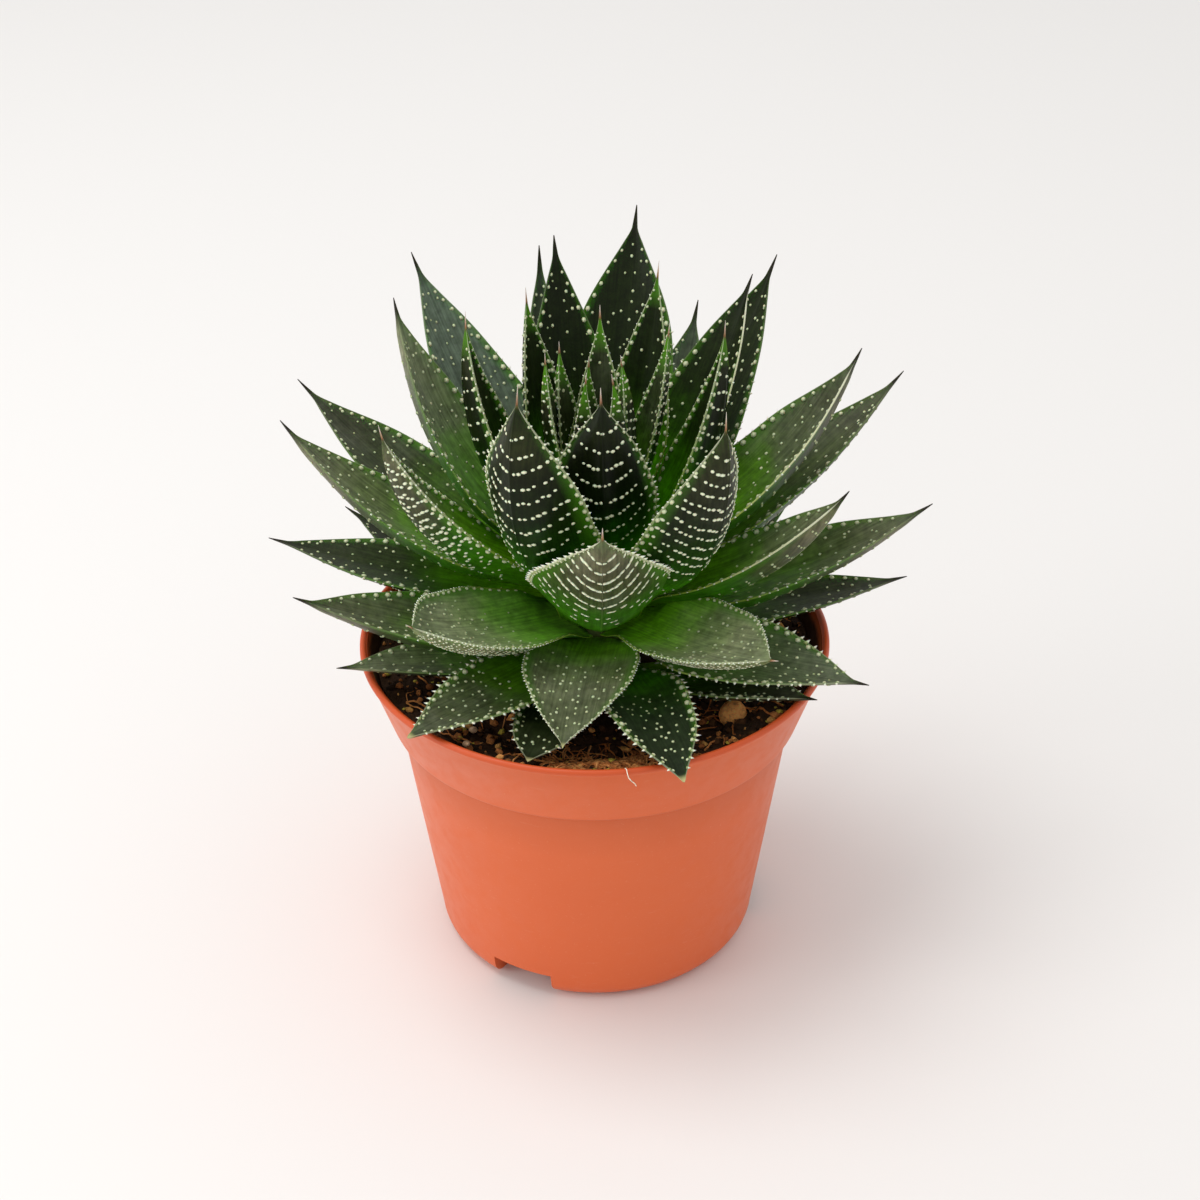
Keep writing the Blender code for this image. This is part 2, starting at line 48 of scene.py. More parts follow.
# Camera, as measured on the photograph's pot
VIEW_ANGLE = 30.0
VIEW_ELEVATION = 32.5
VIEW_ROLL = -0.45
VIEW_DISTANCE = 578.3
RIM_CENTRE_PIXEL = (594.6, 631.4)
PICTURE_SIDE = 1200.0
SENSOR = 36.0

# Floor, room and lights, in metres and watts
FLOOR_SIDE = 8.0
FLOOR_COLOUR = (0.82, 0.81, 0.8, 1.0)
ROOM_COLOUR = (1.0, 0.99, 0.98, 1.0)
ROOM_STRENGTH = 0.8
LIGHT_COLOUR = (1.0, 0.99, 0.97)
LIGHTS = (("overhead", (-0.5, 0.1, 1.5), 0.9, 9.0), ("window", (-0.9, -0.35, 0.5), 0.5, 2.2))
LIT_SPOT = Vector((0.0, 0.0, 0.09))

# Pot
RIM_RADIUS = 60.0
POT_HEIGHT = 88.5
COLLAR_DROP = 20.0
COLLAR_FOOT_RADIUS = 53.6
STEP_HEIGHT = POT_HEIGHT - COLLAR_DROP
STEP_DEPTH = 2.2
STEP_FALL = 0.9
WALL_TOP_RADIUS = COLLAR_FOOT_RADIUS - STEP_DEPTH
BASE_RADIUS = 42.0
WALL_SLOPE = (WALL_TOP_RADIUS - BASE_RADIUS) / (STEP_HEIGHT - STEP_FALL)
COLLAR_SLOPE = (RIM_RADIUS - COLLAR_FOOT_RADIUS) / COLLAR_DROP
CORNER_RADIUS = 5.5
WALL = 1.3
LIP_BEAD = 0.5
FOOT_RING_WIDTH = 3.5
FOOT_RECESS = 7.5
FOOT_PAD_RADIUS = 10.0
FLOOR = FOOT_RECESS + WALL
POT_SIDES = 180
NOTCH_AZIMUTHS = (242.0, 2.0, 122.0)
NOTCH_SIZE = (20.0, 17.0, 15.0)
DRAIN_COUNT = 6
DRAIN_RADIUS = 4.0
DRAIN_CIRCLE = 24.0
DRAIN_FIRST_AZIMUTH = 13.0

# Soil
SOIL_TOP = POT_HEIGHT - 13.0
SOIL_MOUND = 1.0
SOIL_RISE = 6.5
SOIL_RISE_FROM = 38.0
SOIL_RISE_OVER = 15.0
SOIL_SIDES = 200
SOIL_RINGS = 84
CRUMB_TINTS = (0.05, 0.25, 0.4, 0.55, 0.68, 0.8, 0.9, 1.0)
PEAT_ODDS = (0.22, 0.25, 0.2, 0.14, 0.08, 0.08, 0.03, 0.0)
COIR_ODDS = (0.06, 0.1, 0.26, 0.34, 0.2, 0.03, 0.01, 0.0)

# A pebble and two grains of perlite
STONE_SPOTS = ((34.5, -23.5), (-30.5, -28.5), (-31.5, -41.0))
STONE_SIZES = (5.8, 1.5, 1.5)
STONE_TINTS = (0.9, 0.94, 0.94)

# What lies on the bed, as how many, the middle azimuth and its spread to both sides in degrees,
# and the smallest and largest radius
CRUMBS = ((1900, 180.0, 180.0, 24.0, 56.0, PEAT_ODDS), (420, 271.0, 14.0, 45.0, 56.0, COIR_ODDS))
FIBRES = ((330, 271.0, 14.0, 42.0, 56.0), (120, 180.0, 180.0, 30.0, 54.0))

# The stray root over the lip, as points along its middle
ROOT_PATH = ((6.6, -57.6, 84.0), (6.9, -58.4, 86.6), (7.1, -59.2, 88.7), (7.4, -60.1, 89.0),
             (7.6, -60.85, 88.2), (7.9, -60.75, 87.0), (8.6, -60.2, 85.6), (9.4, -59.75, 84.5),
             (9.7, -59.45, 83.6))
ROOT_THICKNESS = 0.24

# Plant
PLANT_OFFSET = 1.2
STEM_TOP = POT_HEIGHT + 29.0
LEAF_START = 10.1
HEART_START = 3.0
HEART_FOOT = STEM_TOP - POT_HEIGHT + 1.5

# Leaf form, as shares of the length, width or thickness of the leaf
AWN_START = 0.94
NO_AWN = 0.985
BASE_WIDTH = 0.3
FULL_WIDTH_AT = 0.38
BASE_THICKNESS = 0.55
FOLD_STARTS_OVER = 0.15
THICKNESS_TAPER = 2.6
UPPER_CURVE = 1.6
UNDER_CURVE = 1.67
STATIONS = 58
AWN_STATIONS = 15

# Where the dressing begins, as shares of the leaf, and where it ends, as shares of the blade
SPOTS_FROM, SPOTS_TO = 0.2, 0.94
ROWS_TO = 0.93
PEARLS_FROM, PEARLS_TO = 0.1, 0.95
TEETH_FROM = 0.18

# How the skin of each kind of leaf is dressed, in millimetres where it is a size. Tooth and
# every are the length and the spacing of the teeth, to is how far up the leaf they go, and pale
# is how white the line along the margin is. Spots and cell are the share and the spacing of the
# scattered spots on top; rows and bead are the spacing of the arched rows and of the beads in
# them, on the underside; arch is how much a row bends towards the tip at the margins. Pearl is
# the size of the bumps along the margin, keel is how white the line under the leaf is, bristle
# is 1 where the awn is still white, and bud is 1 where the point is still bright green. Rough
# is how far the beads stray from their rows, dot is their size, dash is how far they are drawn
# out along the row and first is the share of the length where the rows begin. Early is how much
# nearer to the root the flesh loses its green.
OLD = dict(tooth=0.8, every=2.7, to=0.7, pale=0.1, spots=0.75, cell=3.3, rows=4.2, bead=1.3,
           arch=0.3, pearl=1.6, keel=0.8, bristle=0.0, bud=0.0, rough=0.4, dot=1.0,
           dash=1.0, first=0.2, early=0.0)
LOW = dict(OLD, tooth=1.3, every=2.4, to=0.95, pale=0.25, spots=0.85, cell=2.8, keel=0.2)
FRONT = dict(OLD, tooth=0.6, every=1.0, to=0.95, pale=0.5, spots=0.85, cell=2.5, rows=1.7,
             bead=0.85, pearl=1.0, keel=0.3, bristle=1.0, early=0.2)
YOUNG = dict(OLD, tooth=0.9, every=2.1, to=0.94, pale=0.5, rows=4.0, bead=1.25, arch=0.45,
             pearl=1.3, keel=0.1, bristle=1.0, rough=0.6, dot=1.08, dash=1.1)
DOME = dict(YOUNG, tooth=1.3, every=2.0, pale=0.8, rows=3.7, bead=1.0, pearl=0.9, keel=0.4,
            rough=0.3, dot=1.15, dash=1.7, first=0.36)
SIDE = dict(YOUNG, rows=3.2, bead=1.05, pearl=1.4, keel=0.0)
ROUGH = dict(SIDE, rows=2.4, bead=0.9, rough=1.5, dot=1.3, dash=1.3)
INNER = dict(YOUNG, tooth=0.6, every=2.4, pearl=1.3, bud=0.7, spots=0.4)
BUD = dict(YOUNG, tooth=0.5, every=2.2, spots=0.3, rows=2.6, bead=1.3, pearl=1.0, bud=1.0)


class Leaf:
    """One leaf. The azimuth is in degrees, counted from the right of the pot and seen from
    above; base, reach and tip are the height of the root, the distance of the tip from the
    stem's axis and the height of the tip, with both heights counted from the rim. Bow is how
    far the leaf sags, fold how far its margins rise, sweep how far its tip is off to one side
    and roll how far it is turned about itself, in degrees. Blade is the share of the length
    that the blade takes, before the thin awn, and root is the share of the width that it has
    at the stem. Tone, the painted light and shade, makes the flesh lighter where the leaf is
    lit (above 1) and darker where it is shaded (below 1); cool is the share of a pale bluish
    glaucous coat that is partly a painted reflection, and lined is the side whose margin
    carries a white line, if any."""

    def __init__(self, name, azimuth, base, reach, tip, bow, width, fold=0.3, thick=5.0,
                 sweep=0.0, roll=0.0, taper=4.5, bend=0.5, blade=AWN_START, root=BASE_WIDTH,
                 start=LEAF_START, skin=OLD, tone=1.0, cool=0.0, lined=0):
        self.name = name
        self.azimuth = radians(azimuth)
        self.base = POT_HEIGHT + base
        self.reach = reach
        self.tip = POT_HEIGHT + tip
        self.bow = bow
        self.width = width
        self.fold = fold
        self.thick = thick
        self.sweep = sweep
        self.roll = radians(roll)
        self.taper = taper
        self.bend = bend
        self.blade = blade
        self.root = root
        self.start = start
        self.skin = skin
        self.tone = tone
        self.cool = cool
        self.lined = lined


# The columns are azimuth, base, reach, tip, bow and width, as in the solids.
LEAVES = [
    Leaf("leaf_01", 82, 17, 62, 92, 6, 30, sweep=-2, taper=5, tone=0.3),
    Leaf("leaf_02", 105, 21, 41, 93, 4, 25, taper=3.5, tone=0.25),
    Leaf("leaf_03", 106, 2, 65, 80, 10, 18, sweep=-3, taper=4, cool=0.3, tone=0.8),
    Leaf("leaf_04", 129, 16, 71, 83, 7, 28, sweep=4, taper=4, cool=1.0),
    Leaf("leaf_05", 164, 18, 52, 87, 8, 26, sweep=-2, cool=0.3, tone=4.5),
    Leaf("leaf_06", 146, 13, 94, 48, 7, 27, sweep=3, tone=1.1),
    Leaf("leaf_07", 177, 15, 78, 60, 8, 25, tone=3.0),
    Leaf("leaf_08", 199, 17, 54, 69, 8, 20, fold=0.4, thick=6, sweep=-2, taper=4, bend=0.6,
         skin=ROUGH, tone=2.4),
    Leaf("leaf_09", 148, -2, 81, 13, 3, 23, fold=0.25, tone=0.8),
    Leaf("leaf_10", 168, 10, 88, 18, 2, 24, fold=0.2, tone=0.65),
    Leaf("leaf_11", 199, 0, 78, 26, 3, 25, sweep=-2, roll=-4, tone=2.1),
    Leaf("leaf_12", 221, 9, 62, 30, 4, 27, fold=0.35, sweep=2, roll=-8, taper=6, bend=0.65,
         root=0.7, skin=FRONT, cool=0.2, tone=5.9),
    Leaf("leaf_13", 196, -6, 69, 4, 0, 20, fold=0.2, thick=4, sweep=3, taper=4, cool=0.2,
         tone=3.9),
    Leaf("leaf_14", 230, -3, 68, 3, -1, 25, fold=0.2, thick=4, sweep=-3, taper=4,
         blade=NO_AWN, skin=LOW, tone=1.8),
    Leaf("leaf_15", 261, 5, 57, 4, -3, 29, fold=0.2, thick=6, taper=4, blade=NO_AWN, root=0.5,
         skin=FRONT, tone=3.0),
    Leaf("leaf_16", 252, -7, 56, -2, -1, 18, fold=0.2, thick=4, taper=8, blade=NO_AWN,
         skin=LOW, tone=0.6),
    Leaf("leaf_17", 287, -5, 70, 2, -4, 22, fold=0.2, sweep=-1, taper=5, blade=NO_AWN,
         skin=LOW, cool=0.1, tone=0.3),
    Leaf("leaf_18", 329, 2, 75, 8, 0, 28, fold=0.25, sweep=2, roll=6, taper=4, skin=LOW,
         cool=0.25, tone=2.1),
    Leaf("leaf_19", 311, 9, 64, 23, 2, 26, fold=0.35, roll=8, taper=5, bend=0.6, root=0.65,
         skin=FRONT, tone=5.9),
    Leaf("leaf_20", 326, -8, 64, 3, 0, 20, fold=0.2, thick=4, taper=4, skin=LOW, tone=1.2),
    Leaf("leaf_21", 8, 0, 81, 9, 1, 20, fold=0.25, thick=4),
    Leaf("leaf_22", 347, 12, 62, 48, 6, 22, fold=0.4, sweep=2, lined=-1, tone=3.2),
    Leaf("leaf_23", 5, 6, 85, 33, 5, 25, fold=0.35, tone=2.8),
    Leaf("leaf_24", 23, 14, 85, 58, 6, 23, fold=0.35, sweep=-1, tone=1.8),
    Leaf("leaf_25", 13, 20, 67, 73, 8, 27, fold=0.4, lined=-1, tone=1.9),
    Leaf("leaf_26", 55, 8, 77, 78, 5, 26, fold=0.35, sweep=-4, tone=0.42),
    Leaf("leaf_27", 45, 22, 56, 82, 4, 22, fold=0.4, lined=-1, tone=0.4),
    Leaf("leaf_28", 70, 3, 81, 58, 8, 25, cool=0.3, tone=0.8),
    Leaf("leaf_29", 61, 25, 32, 91, 3, 22, fold=0.35, taper=2.6, skin=INNER, tone=0.3),
    Leaf("leaf_30", 4, 23, 31, 86, 5, 20, fold=0.45, sweep=2, taper=3, skin=INNER, tone=0.3),
    Leaf("leaf_31", 313, 18, 43, 80, 10, 31, fold=0.4, thick=6, taper=5, root=0.9,
         skin=SIDE, tone=0.7),
    Leaf("leaf_32", 238, 18, 34, 86, 10, 31, fold=0.4, thick=6, taper=5, root=0.75,
         skin=YOUNG, tone=0.5),
    Leaf("leaf_33", 273, 22, 15, 78, 7, 27, fold=0.4, thick=5, taper=5, root=0.5,
         skin=YOUNG, tone=0.25),
    Leaf("leaf_34", 271, 11, 54, 63, 6, 36, fold=0.45, thick=5, taper=3.6, root=0.55,
         skin=DOME, tone=2.8),
    Leaf("leaf_35", 171, 22, 32, 88, 6, 22, fold=0.45, sweep=-1, taper=2.8, skin=INNER, tone=0.4),
    Leaf("leaf_36", 134, 25, 26, 88, 3, 19, fold=0.45, sweep=-1, taper=2.6, skin=INNER, tone=0.3),
    Leaf("leaf_37", 90, 0, 76, 23, 4, 21),
    Leaf("leaf_38", 134, 5, 76, 28, 6, 23),
    Leaf("leaf_39", 41, 1, 78, 24, 4, 23),
    Leaf("leaf_40", 64, -6, 76, 9, 0, 21, fold=0.25, thick=4),
    Leaf("leaf_41", 110, -6, 74, 7, 0, 21, fold=0.25, thick=4),
]


def heart_leaf(azimuth, reach, tip, bow, width, taper=2.4):
    return Leaf("heart", azimuth, HEART_FOOT, reach, tip, bow, width, thick=4, taper=taper,
                start=HEART_START, skin=BUD, tone=0.8)


HEART_LEAVES = [
    heart_leaf(85, 9, 88, 2, 18, taper=2.2),
    heart_leaf(140, 12, 79, 2, 12),
    heart_leaf(165, 13, 78, 2, 12),
    heart_leaf(120, 4, 77, 1, 10),
    heart_leaf(330, 4, 75, 2, 12),
    heart_leaf(20, 6, 78, 2, 12),
    heart_leaf(230, 4, 76, 2, 12),
    heart_leaf(28, 20, 83, 3, 13),
]


# Mesh helpers

def new_object(name, data):
    made = bpy.data.objects.new(name, data)
    bpy.context.scene.collection.objects.link(made)
    return made


class Soup:
    """Points and faces of one piece, with a few numbers for each point."""

    def __init__(self, channels):
        self.points = []
        self.faces = []
        self.slots = []
        self.channels = {name: [] for name in channels}
        self.count = 0

    def add(self, points, faces, slot, **channels):
        points = np.asarray(points, float).reshape(-1, 3)
        self.points.append(points)
        self.join(faces, self.count, slot)
        for name, values in self.channels.items():
            value = channels.get(name, 0.0)
            values.append(np.broadcast_to(value, len(points)).astype(np.float32))
        self.count += len(points)

    def join(self, faces, start, slot):
        """More faces between points that are counted from start."""
        self.faces += (np.asarray(faces, int) + start).tolist()
        self.slots += [slot] * len(faces)

    def make(self, name, materials):
        mesh = bpy.data.meshes.new(name)
        points = np.concatenate(self.points) * MM
        mesh.from_pydata(points.tolist(), [], self.faces)
        mesh.polygons.foreach_set("material_index", self.slots)
        mesh.polygons.foreach_set("use_smooth", [True] * len(self.faces))
        for channel, values in self.channels.items():
            layer = mesh.attributes.new(channel, "FLOAT", "POINT")
            layer.data.foreach_set("value", np.concatenate(values))
        for paint in materials:
            mesh.materials.append(paint)
        mesh.update()
        return new_object(name, mesh)


def grid_faces(rows, columns, closed=True):
    """Quads of a grid whose rows are closed rings or open lines."""
    steps = columns if closed else columns - 1
    row = np.arange(rows - 1)[:, None] * columns
    first = np.arange(steps)[None, :]
    after = (first + 1) % columns
    return np.stack([row + first, row + after, row + columns + after,
                     row + columns + first], -1).reshape(-1, 4)


def end_caps(rows, columns):
    """Fans that close both ends of a grid of closed rings, whose two middle points come last.
    They fit the quads of the grid turned round."""
    first = np.arange(columns)
    after = (first + 1) % columns
    last = (rows - 1) * columns
    centre = np.full(columns, rows * columns)
    return np.concatenate([np.stack([first, after, centre], 1),
                           np.stack([last + after, last + first, centre + 1], 1)])


def foot_fan(sides):
    """Triangles that close the ring of a template's first points."""
    turn = np.arange(1, sides - 1)
    return np.stack([np.zeros_like(turn), turn + 1, turn], 1)


def place(template, spots, along, across, upward, sizes):
    """Copies of a small template, one at each spot, stretched by three sizes."""
    points = spots[:, None, :]
    for i, direction in enumerate((along, across, upward)):
        points = points + (sizes[:, i:i + 1] * template[:, i])[:, :, None] * direction[:, None, :]
    return points.reshape(-1, 3)


def unit(vectors):
    return vectors / np.linalg.norm(vectors, axis=1)[:, None]


def repeat_faces(faces, points_each, copies):
    offsets = np.arange(copies)[:, None, None] * points_each
    return (faces[None, :, :] + offsets).reshape(-1, faces.shape[1])


def spike(lower_ring, upper_ring, tip):
    """A closed cone over two rings of points, and its faces."""
    sides = len(lower_ring)
    first = np.arange(sides)
    after = (first + 1) % sides
    faces = [np.stack([first, after, sides + after], 1),
             np.stack([first, sides + after, sides + first], 1),
             np.stack([sides + first, sides + after, np.full(sides, 2 * sides)], 1),
             foot_fan(sides)]
    return np.concatenate([lower_ring, upper_ring, [tip]]), np.concatenate(faces)


def dome(sides):
    """A low dome of radius 1 and height 1, with its foot sunk a little, and its faces."""
    turns = tau * np.arange(sides) / sides
    rings = [np.stack([radius * np.cos(turns), radius * np.sin(turns), np.full(sides, height)], 1)
             for radius, height in ((1.0, -0.35), (0.85, 0.5))]
    return spike(*rings, (0.0, 0.0, 1.0))


def thorn(sides):
    """A small cone along its first axis, from a sunk foot to a point at 1, and its faces."""
    turns = tau * np.arange(sides) / sides
    rings = [np.stack([np.full(sides, reach), radius * np.cos(turns), radius * np.sin(turns)], 1)
             for radius, reach in ((1.0, -0.3), (0.6, 0.35))]
    return spike(*rings, (1.0, 0.0, 0.0))


# Leaf surface

def smooth_step(value):
    value = np.clip(value, 0.0, 1.0)
    return value * value * (3.0 - 2.0 * value)


def blade_left(shares, blade, power):
    """1 along the blade, falling to 0 where the awn starts."""
    return np.clip(1.0 - (shares / blade) ** power, 0.0, 1.0)


def width_share(leaf, shares):
    grown = leaf.root + (1.0 - leaf.root) * smooth_step(shares / FULL_WIDTH_AT)
    return grown * blade_left(shares, leaf.blade, leaf.taper) ** 1.4


def thickness_share(leaf, shares):
    grown = BASE_THICKNESS + (1.0 - BASE_THICKNESS) * smooth_step(shares / FULL_WIDTH_AT)
    return grown * blade_left(shares, leaf.blade, THICKNESS_TAPER)


def awn_radius(leaf, shares):
    """The awn thins evenly to its point. A dried one is stouter than a white bristle."""
    stout = 0.62 - 0.36 * leaf.skin["bristle"]
    gone = np.clip((shares - leaf.blade) / (1.0 - leaf.blade), 0.0, 1.0)
    return stout * (1.0 - 0.82 * gone)


def skeleton(leaf, shares):
    """Middle of the upper face and the directions along, across and up, at each share."""
    outward = np.array((cos(leaf.azimuth), sin(leaf.azimuth), 0.0))
    sideways = np.array((-sin(leaf.azimuth), cos(leaf.azimuth), 0.0))
    above = np.array((0.0, 0.0, 1.0))
    root = np.array((leaf.start, leaf.base))
    chord = np.array((leaf.reach, leaf.tip)) - root
    below = np.array((chord[1], -chord[0])) / np.linalg.norm(chord)
    knee = leaf.bend * chord + 2.0 * leaf.bow * below
    t = shares[:, None]
    path = root + 2.0 * t * (1.0 - t) * knee + t * t * chord
    slope = 2.0 * (1.0 - 2.0 * t) * knee + 2.0 * t * chord
    points = path[:, :1] * outward + path[:, 1:] * above + leaf.sweep * t * t * sideways
    points[:, 0] += PLANT_OFFSET
    along = unit(slope[:, :1] * outward + slope[:, 1:] * above
                 + 2.0 * leaf.sweep * t * sideways)
    across = unit(sideways - (along @ sideways)[:, None] * along)
    upward = np.cross(along, across)
    turned = across * cos(leaf.roll) + upward * sin(leaf.roll)
    raised = upward * cos(leaf.roll) - across * sin(leaf.roll)
    return points, along, turned, raised


def leaf_sizes(leaf, shares):
    """Half width, depth and lift of the margins at each share."""
    awn = awn_radius(leaf, shares)
    wavy = 1.0 + 0.02 * np.sin(19.0 * shares + 5.0 * leaf.azimuth)
    half = awn + (0.5 * leaf.width * wavy - awn) * width_share(leaf, shares)
    deep = awn + (leaf.thick - awn) * thickness_share(leaf, shares)
    lift = leaf.fold * half * smooth_step(shares / FOLD_STARTS_OVER)
    return half, deep, lift


def half_width(leaf, share):
    return leaf_sizes(leaf, np.array([share]))[0][0]


def surface(leaf, shares, sides, under):
    """Points on the upper face or the underside. Sides run from -1 to 1 over the width."""
    middle, _, across, upward = skeleton(leaf, shares)
    half, deep, lift = leaf_sizes(leaf, shares)
    reach = np.abs(sides)
    top = lift * reach ** UPPER_CURVE
    bottom = lift * reach ** UNDER_CURVE - deep * (1.0 - reach ** 2)
    height = np.where(under, bottom, top)
    phase = leaf.azimuth * 7.0
    wave = 0.16 * np.sin(9.0 * shares + 2.1 * sides + phase) * np.sin(3.0 * sides - phase)
    height = height + wave * (1.0 - reach ** 4) * np.minimum(1.0, half / 6.0)
    return middle + (sides * half)[:, None] * across + height[:, None] * upward


def surface_frame(leaf, shares, sides, under):
    """Points, directions along and across, and outward normals on a leaf's surface."""
    step = 0.004
    here = surface(leaf, shares, sides, under)
    along = unit(surface(leaf, shares + step, sides, under)
                 - surface(leaf, shares - step, sides, under))
    across = (surface(leaf, shares, np.clip(sides + 0.03, -1, 1), under)
              - surface(leaf, shares, np.clip(sides - 0.03, -1, 1), under))
    normal = unit(np.cross(along, across))
    normal = np.where(np.asarray(under)[:, None], -normal, normal)
    return here, along, np.cross(normal, along), normal


def leaf_length(leaf):
    points = skeleton(leaf, np.linspace(0.0, 1.0, 40))[0]
    return np.linalg.norm(np.diff(points, axis=0), axis=1).sum()


UPPER_SIDES = np.concatenate([[-0.97], np.linspace(-0.88, 0.88, 11), [0.97]])
UNDER_SIDES = np.concatenate([[0.97], np.linspace(0.88, 0.1, 6), [0.035, 0.0, -0.035],
                              np.linspace(-0.1, -0.88, 6), [-0.97]])
BEAD = ((0.02, 0.24), (0.26, 0.16), (0.3, -0.1), (0.06, -0.26))


def add_blade(soup, leaf):
    """The body of the leaf, with a thin bead on both margins and a low ridge on the keel."""
    shares = np.concatenate([np.linspace(0.0, 0.92 * leaf.blade, STATIONS),
                             np.linspace(0.93 * leaf.blade, 1.0, AWN_STATIONS)])
    middle, _, across, upward = skeleton(leaf, shares)
    half, _, lift = leaf_sizes(leaf, shares)
    rows = len(shares)
    bead = np.minimum(1.0, half / 2.0) * (0.35 + 0.65 * smooth_step(shares / 0.2))
    columns = []
    marks = []

    def add_margin(sign, corners):
        for out, up in corners:
            columns.append(middle + (sign * (half + out * bead))[:, None] * across
                           + (lift + up * bead)[:, None] * upward)
            marks.append((sign, 1.0, 0.5 if up > 0 else 1.0))

    for side in UPPER_SIDES:
        columns.append(surface(leaf, shares, np.full(rows, side), np.zeros(rows, bool)))
        marks.append((side, 0.0, 0.0))
    add_margin(1.0, BEAD)
    for side in UNDER_SIDES:
        points = surface(leaf, shares, np.full(rows, side), np.ones(rows, bool))
        ridge = 0.35 if side == 0.0 else 0.0
        columns.append(points - (ridge * bead * smooth_step(shares / 0.4))[:, None] * upward)
        marks.append((side, leaf.skin["keel"] if side == 0.0 else 0.0, 1.0))
    add_margin(-1.0, reversed(BEAD))
    ring = len(columns)
    points = np.stack(columns, 1).reshape(-1, 3)
    side, edge, under = (np.tile([mark[i] for mark in marks], rows) for i in range(3))
    keel = (side == 0.0) & (under == 1.0)
    lined = (edge == 1.0) & (np.sign(side) == leaf.lined)
    pale = np.where(keel | lined, 1.0, leaf.skin["pale"])
    share, width = np.repeat(shares, ring), np.repeat(half, ring)
    ends = np.stack([points[:ring].mean(0), points[-ring:].mean(0)])
    start = soup.count
    soup.add(np.concatenate([points, ends]), grid_faces(rows, ring)[:, ::-1], 0,
             along=with_ends(share), across=with_ends(side * width), half=with_ends(width),
             rim=with_ends(np.abs(side)), edge=with_ends(edge), under=with_ends(under),
             pale=with_ends(pale), **leaf_marks(leaf))
    soup.join(end_caps(rows, ring), start, 0)


def with_ends(values):
    return np.append(values, (values[0], values[-1]))


def leaf_marks(leaf):
    return dict(young=leaf.skin["bristle"], bud=leaf.skin["bud"], early=leaf.skin["early"],
                cool=leaf.cool, tone=leaf.tone, stub=float(leaf.blade == NO_AWN))


DOME_POINTS, DOME_FACES = dome(6)
THORN_POINTS, THORN_FACES = thorn(5)


def add_domes(soup, leaf, shares, sides, under, sizes, bright):
    """Raised pale spots at these places on the leaf."""
    if not len(shares):
        return
    shares, sides = np.asarray(shares), np.asarray(sides)
    under = np.full(len(shares), under)
    spots, along, across, normal = surface_frame(leaf, shares, sides, under)
    points = place(DOME_POINTS, spots, along, across, normal, np.asarray(sizes))
    crown = np.tile(np.clip(DOME_POINTS[:, 2], 0.0, 1.0), len(shares))
    each = len(DOME_POINTS)
    soup.add(points, repeat_faces(DOME_FACES, each, len(shares)), 1, crown=crown,
             along=np.repeat(shares, each), bright=np.repeat(bright, each))


def add_upper_spots(soup, leaf, rng):
    """Scattered spots, none near the root, closer together towards the point."""
    length = leaf_length(leaf)
    cell = leaf.skin["cell"]
    shares, sides, sizes, bright = [], [], [], []
    for along in np.arange(SPOTS_FROM * length, SPOTS_TO * leaf.blade * length, cell):
        share = along / length
        half = half_width(leaf, share)
        for x in np.arange(-half + 1.9, half - 1.6, cell):
            odds = leaf.skin["spots"] * (0.05 + 0.95 * smooth_step((share - 0.25) / 0.3))
            keep, a, b, size = rng.random(4)
            if keep > odds:
                continue
            shares.append(share + (a - 0.5) * 0.9 * cell / length)
            sides.append(np.clip((x + (b - 0.5) * 0.9 * cell) / half, -0.8, 0.8))
            radius = (0.3 + 0.2 * size) * (0.7 + 0.3 * smooth_step((share - 0.2) / 0.3))
            sizes.append((1.15 * radius, radius, 0.6 * radius))
            bright.append(0.2 + 0.4 * size)
    add_domes(soup, leaf, shares, sides, False, sizes, bright)


def add_under_rows(soup, leaf, rng):
    """Arched rows of spots on the underside, run together here and there into short dashes."""
    length = leaf_length(leaf)
    step = leaf.skin["bead"]
    dot = leaf.skin["dot"] * min(1.0, step / 1.05)
    old = leaf.skin["bristle"] == 0.0
    shares, sides, sizes = [], [], []
    first = leaf.skin["first"]
    for along in np.arange(first * length, ROWS_TO * leaf.blade * length, leaf.skin["rows"]):
        share = along / length
        half = half_width(leaf, share)
        reach = half * (0.75 if old else 1.0) - 0.5
        drift = 0.25 * leaf.skin["rows"] * (rng.random() - 0.5)
        x = -reach + 0.8 * rng.random()
        run = rng.integers(2, 5)
        while x < reach:
            arch = leaf.skin["arch"] * half * (x / half) ** 2
            stray = leaf.skin["rough"] * (rng.random() - 0.5)
            spot = share + (arch + drift + stray) / length
            fade = smooth_step((spot - first - 0.02) / 0.25)
            side = x / max(half_width(leaf, min(spot, 0.97)), 0.5 * half)
            if rng.random() < 0.3 + 0.7 * fade and spot < 0.97 * leaf.blade and abs(side) < 0.94:
                shares.append(spot)
                sides.append(side)
                radius = (0.34 + 0.14 * rng.random()) * (0.6 + 0.4 * fade) * dot
                wide = leaf.skin["dash"] * (1.0 + 0.6 * rng.random()) * radius
                sizes.append((radius, wide, 0.55 * radius))
            run -= 1
            x += step * (0.8 + 0.2 * rng.random())
            if run <= 0:
                x += step * (0.4 + 0.5 * rng.random())
                run = rng.integers(2, 5)
    add_domes(soup, leaf, shares, sides, True, sizes, np.full(len(shares), 0.4 if old else 1.0))


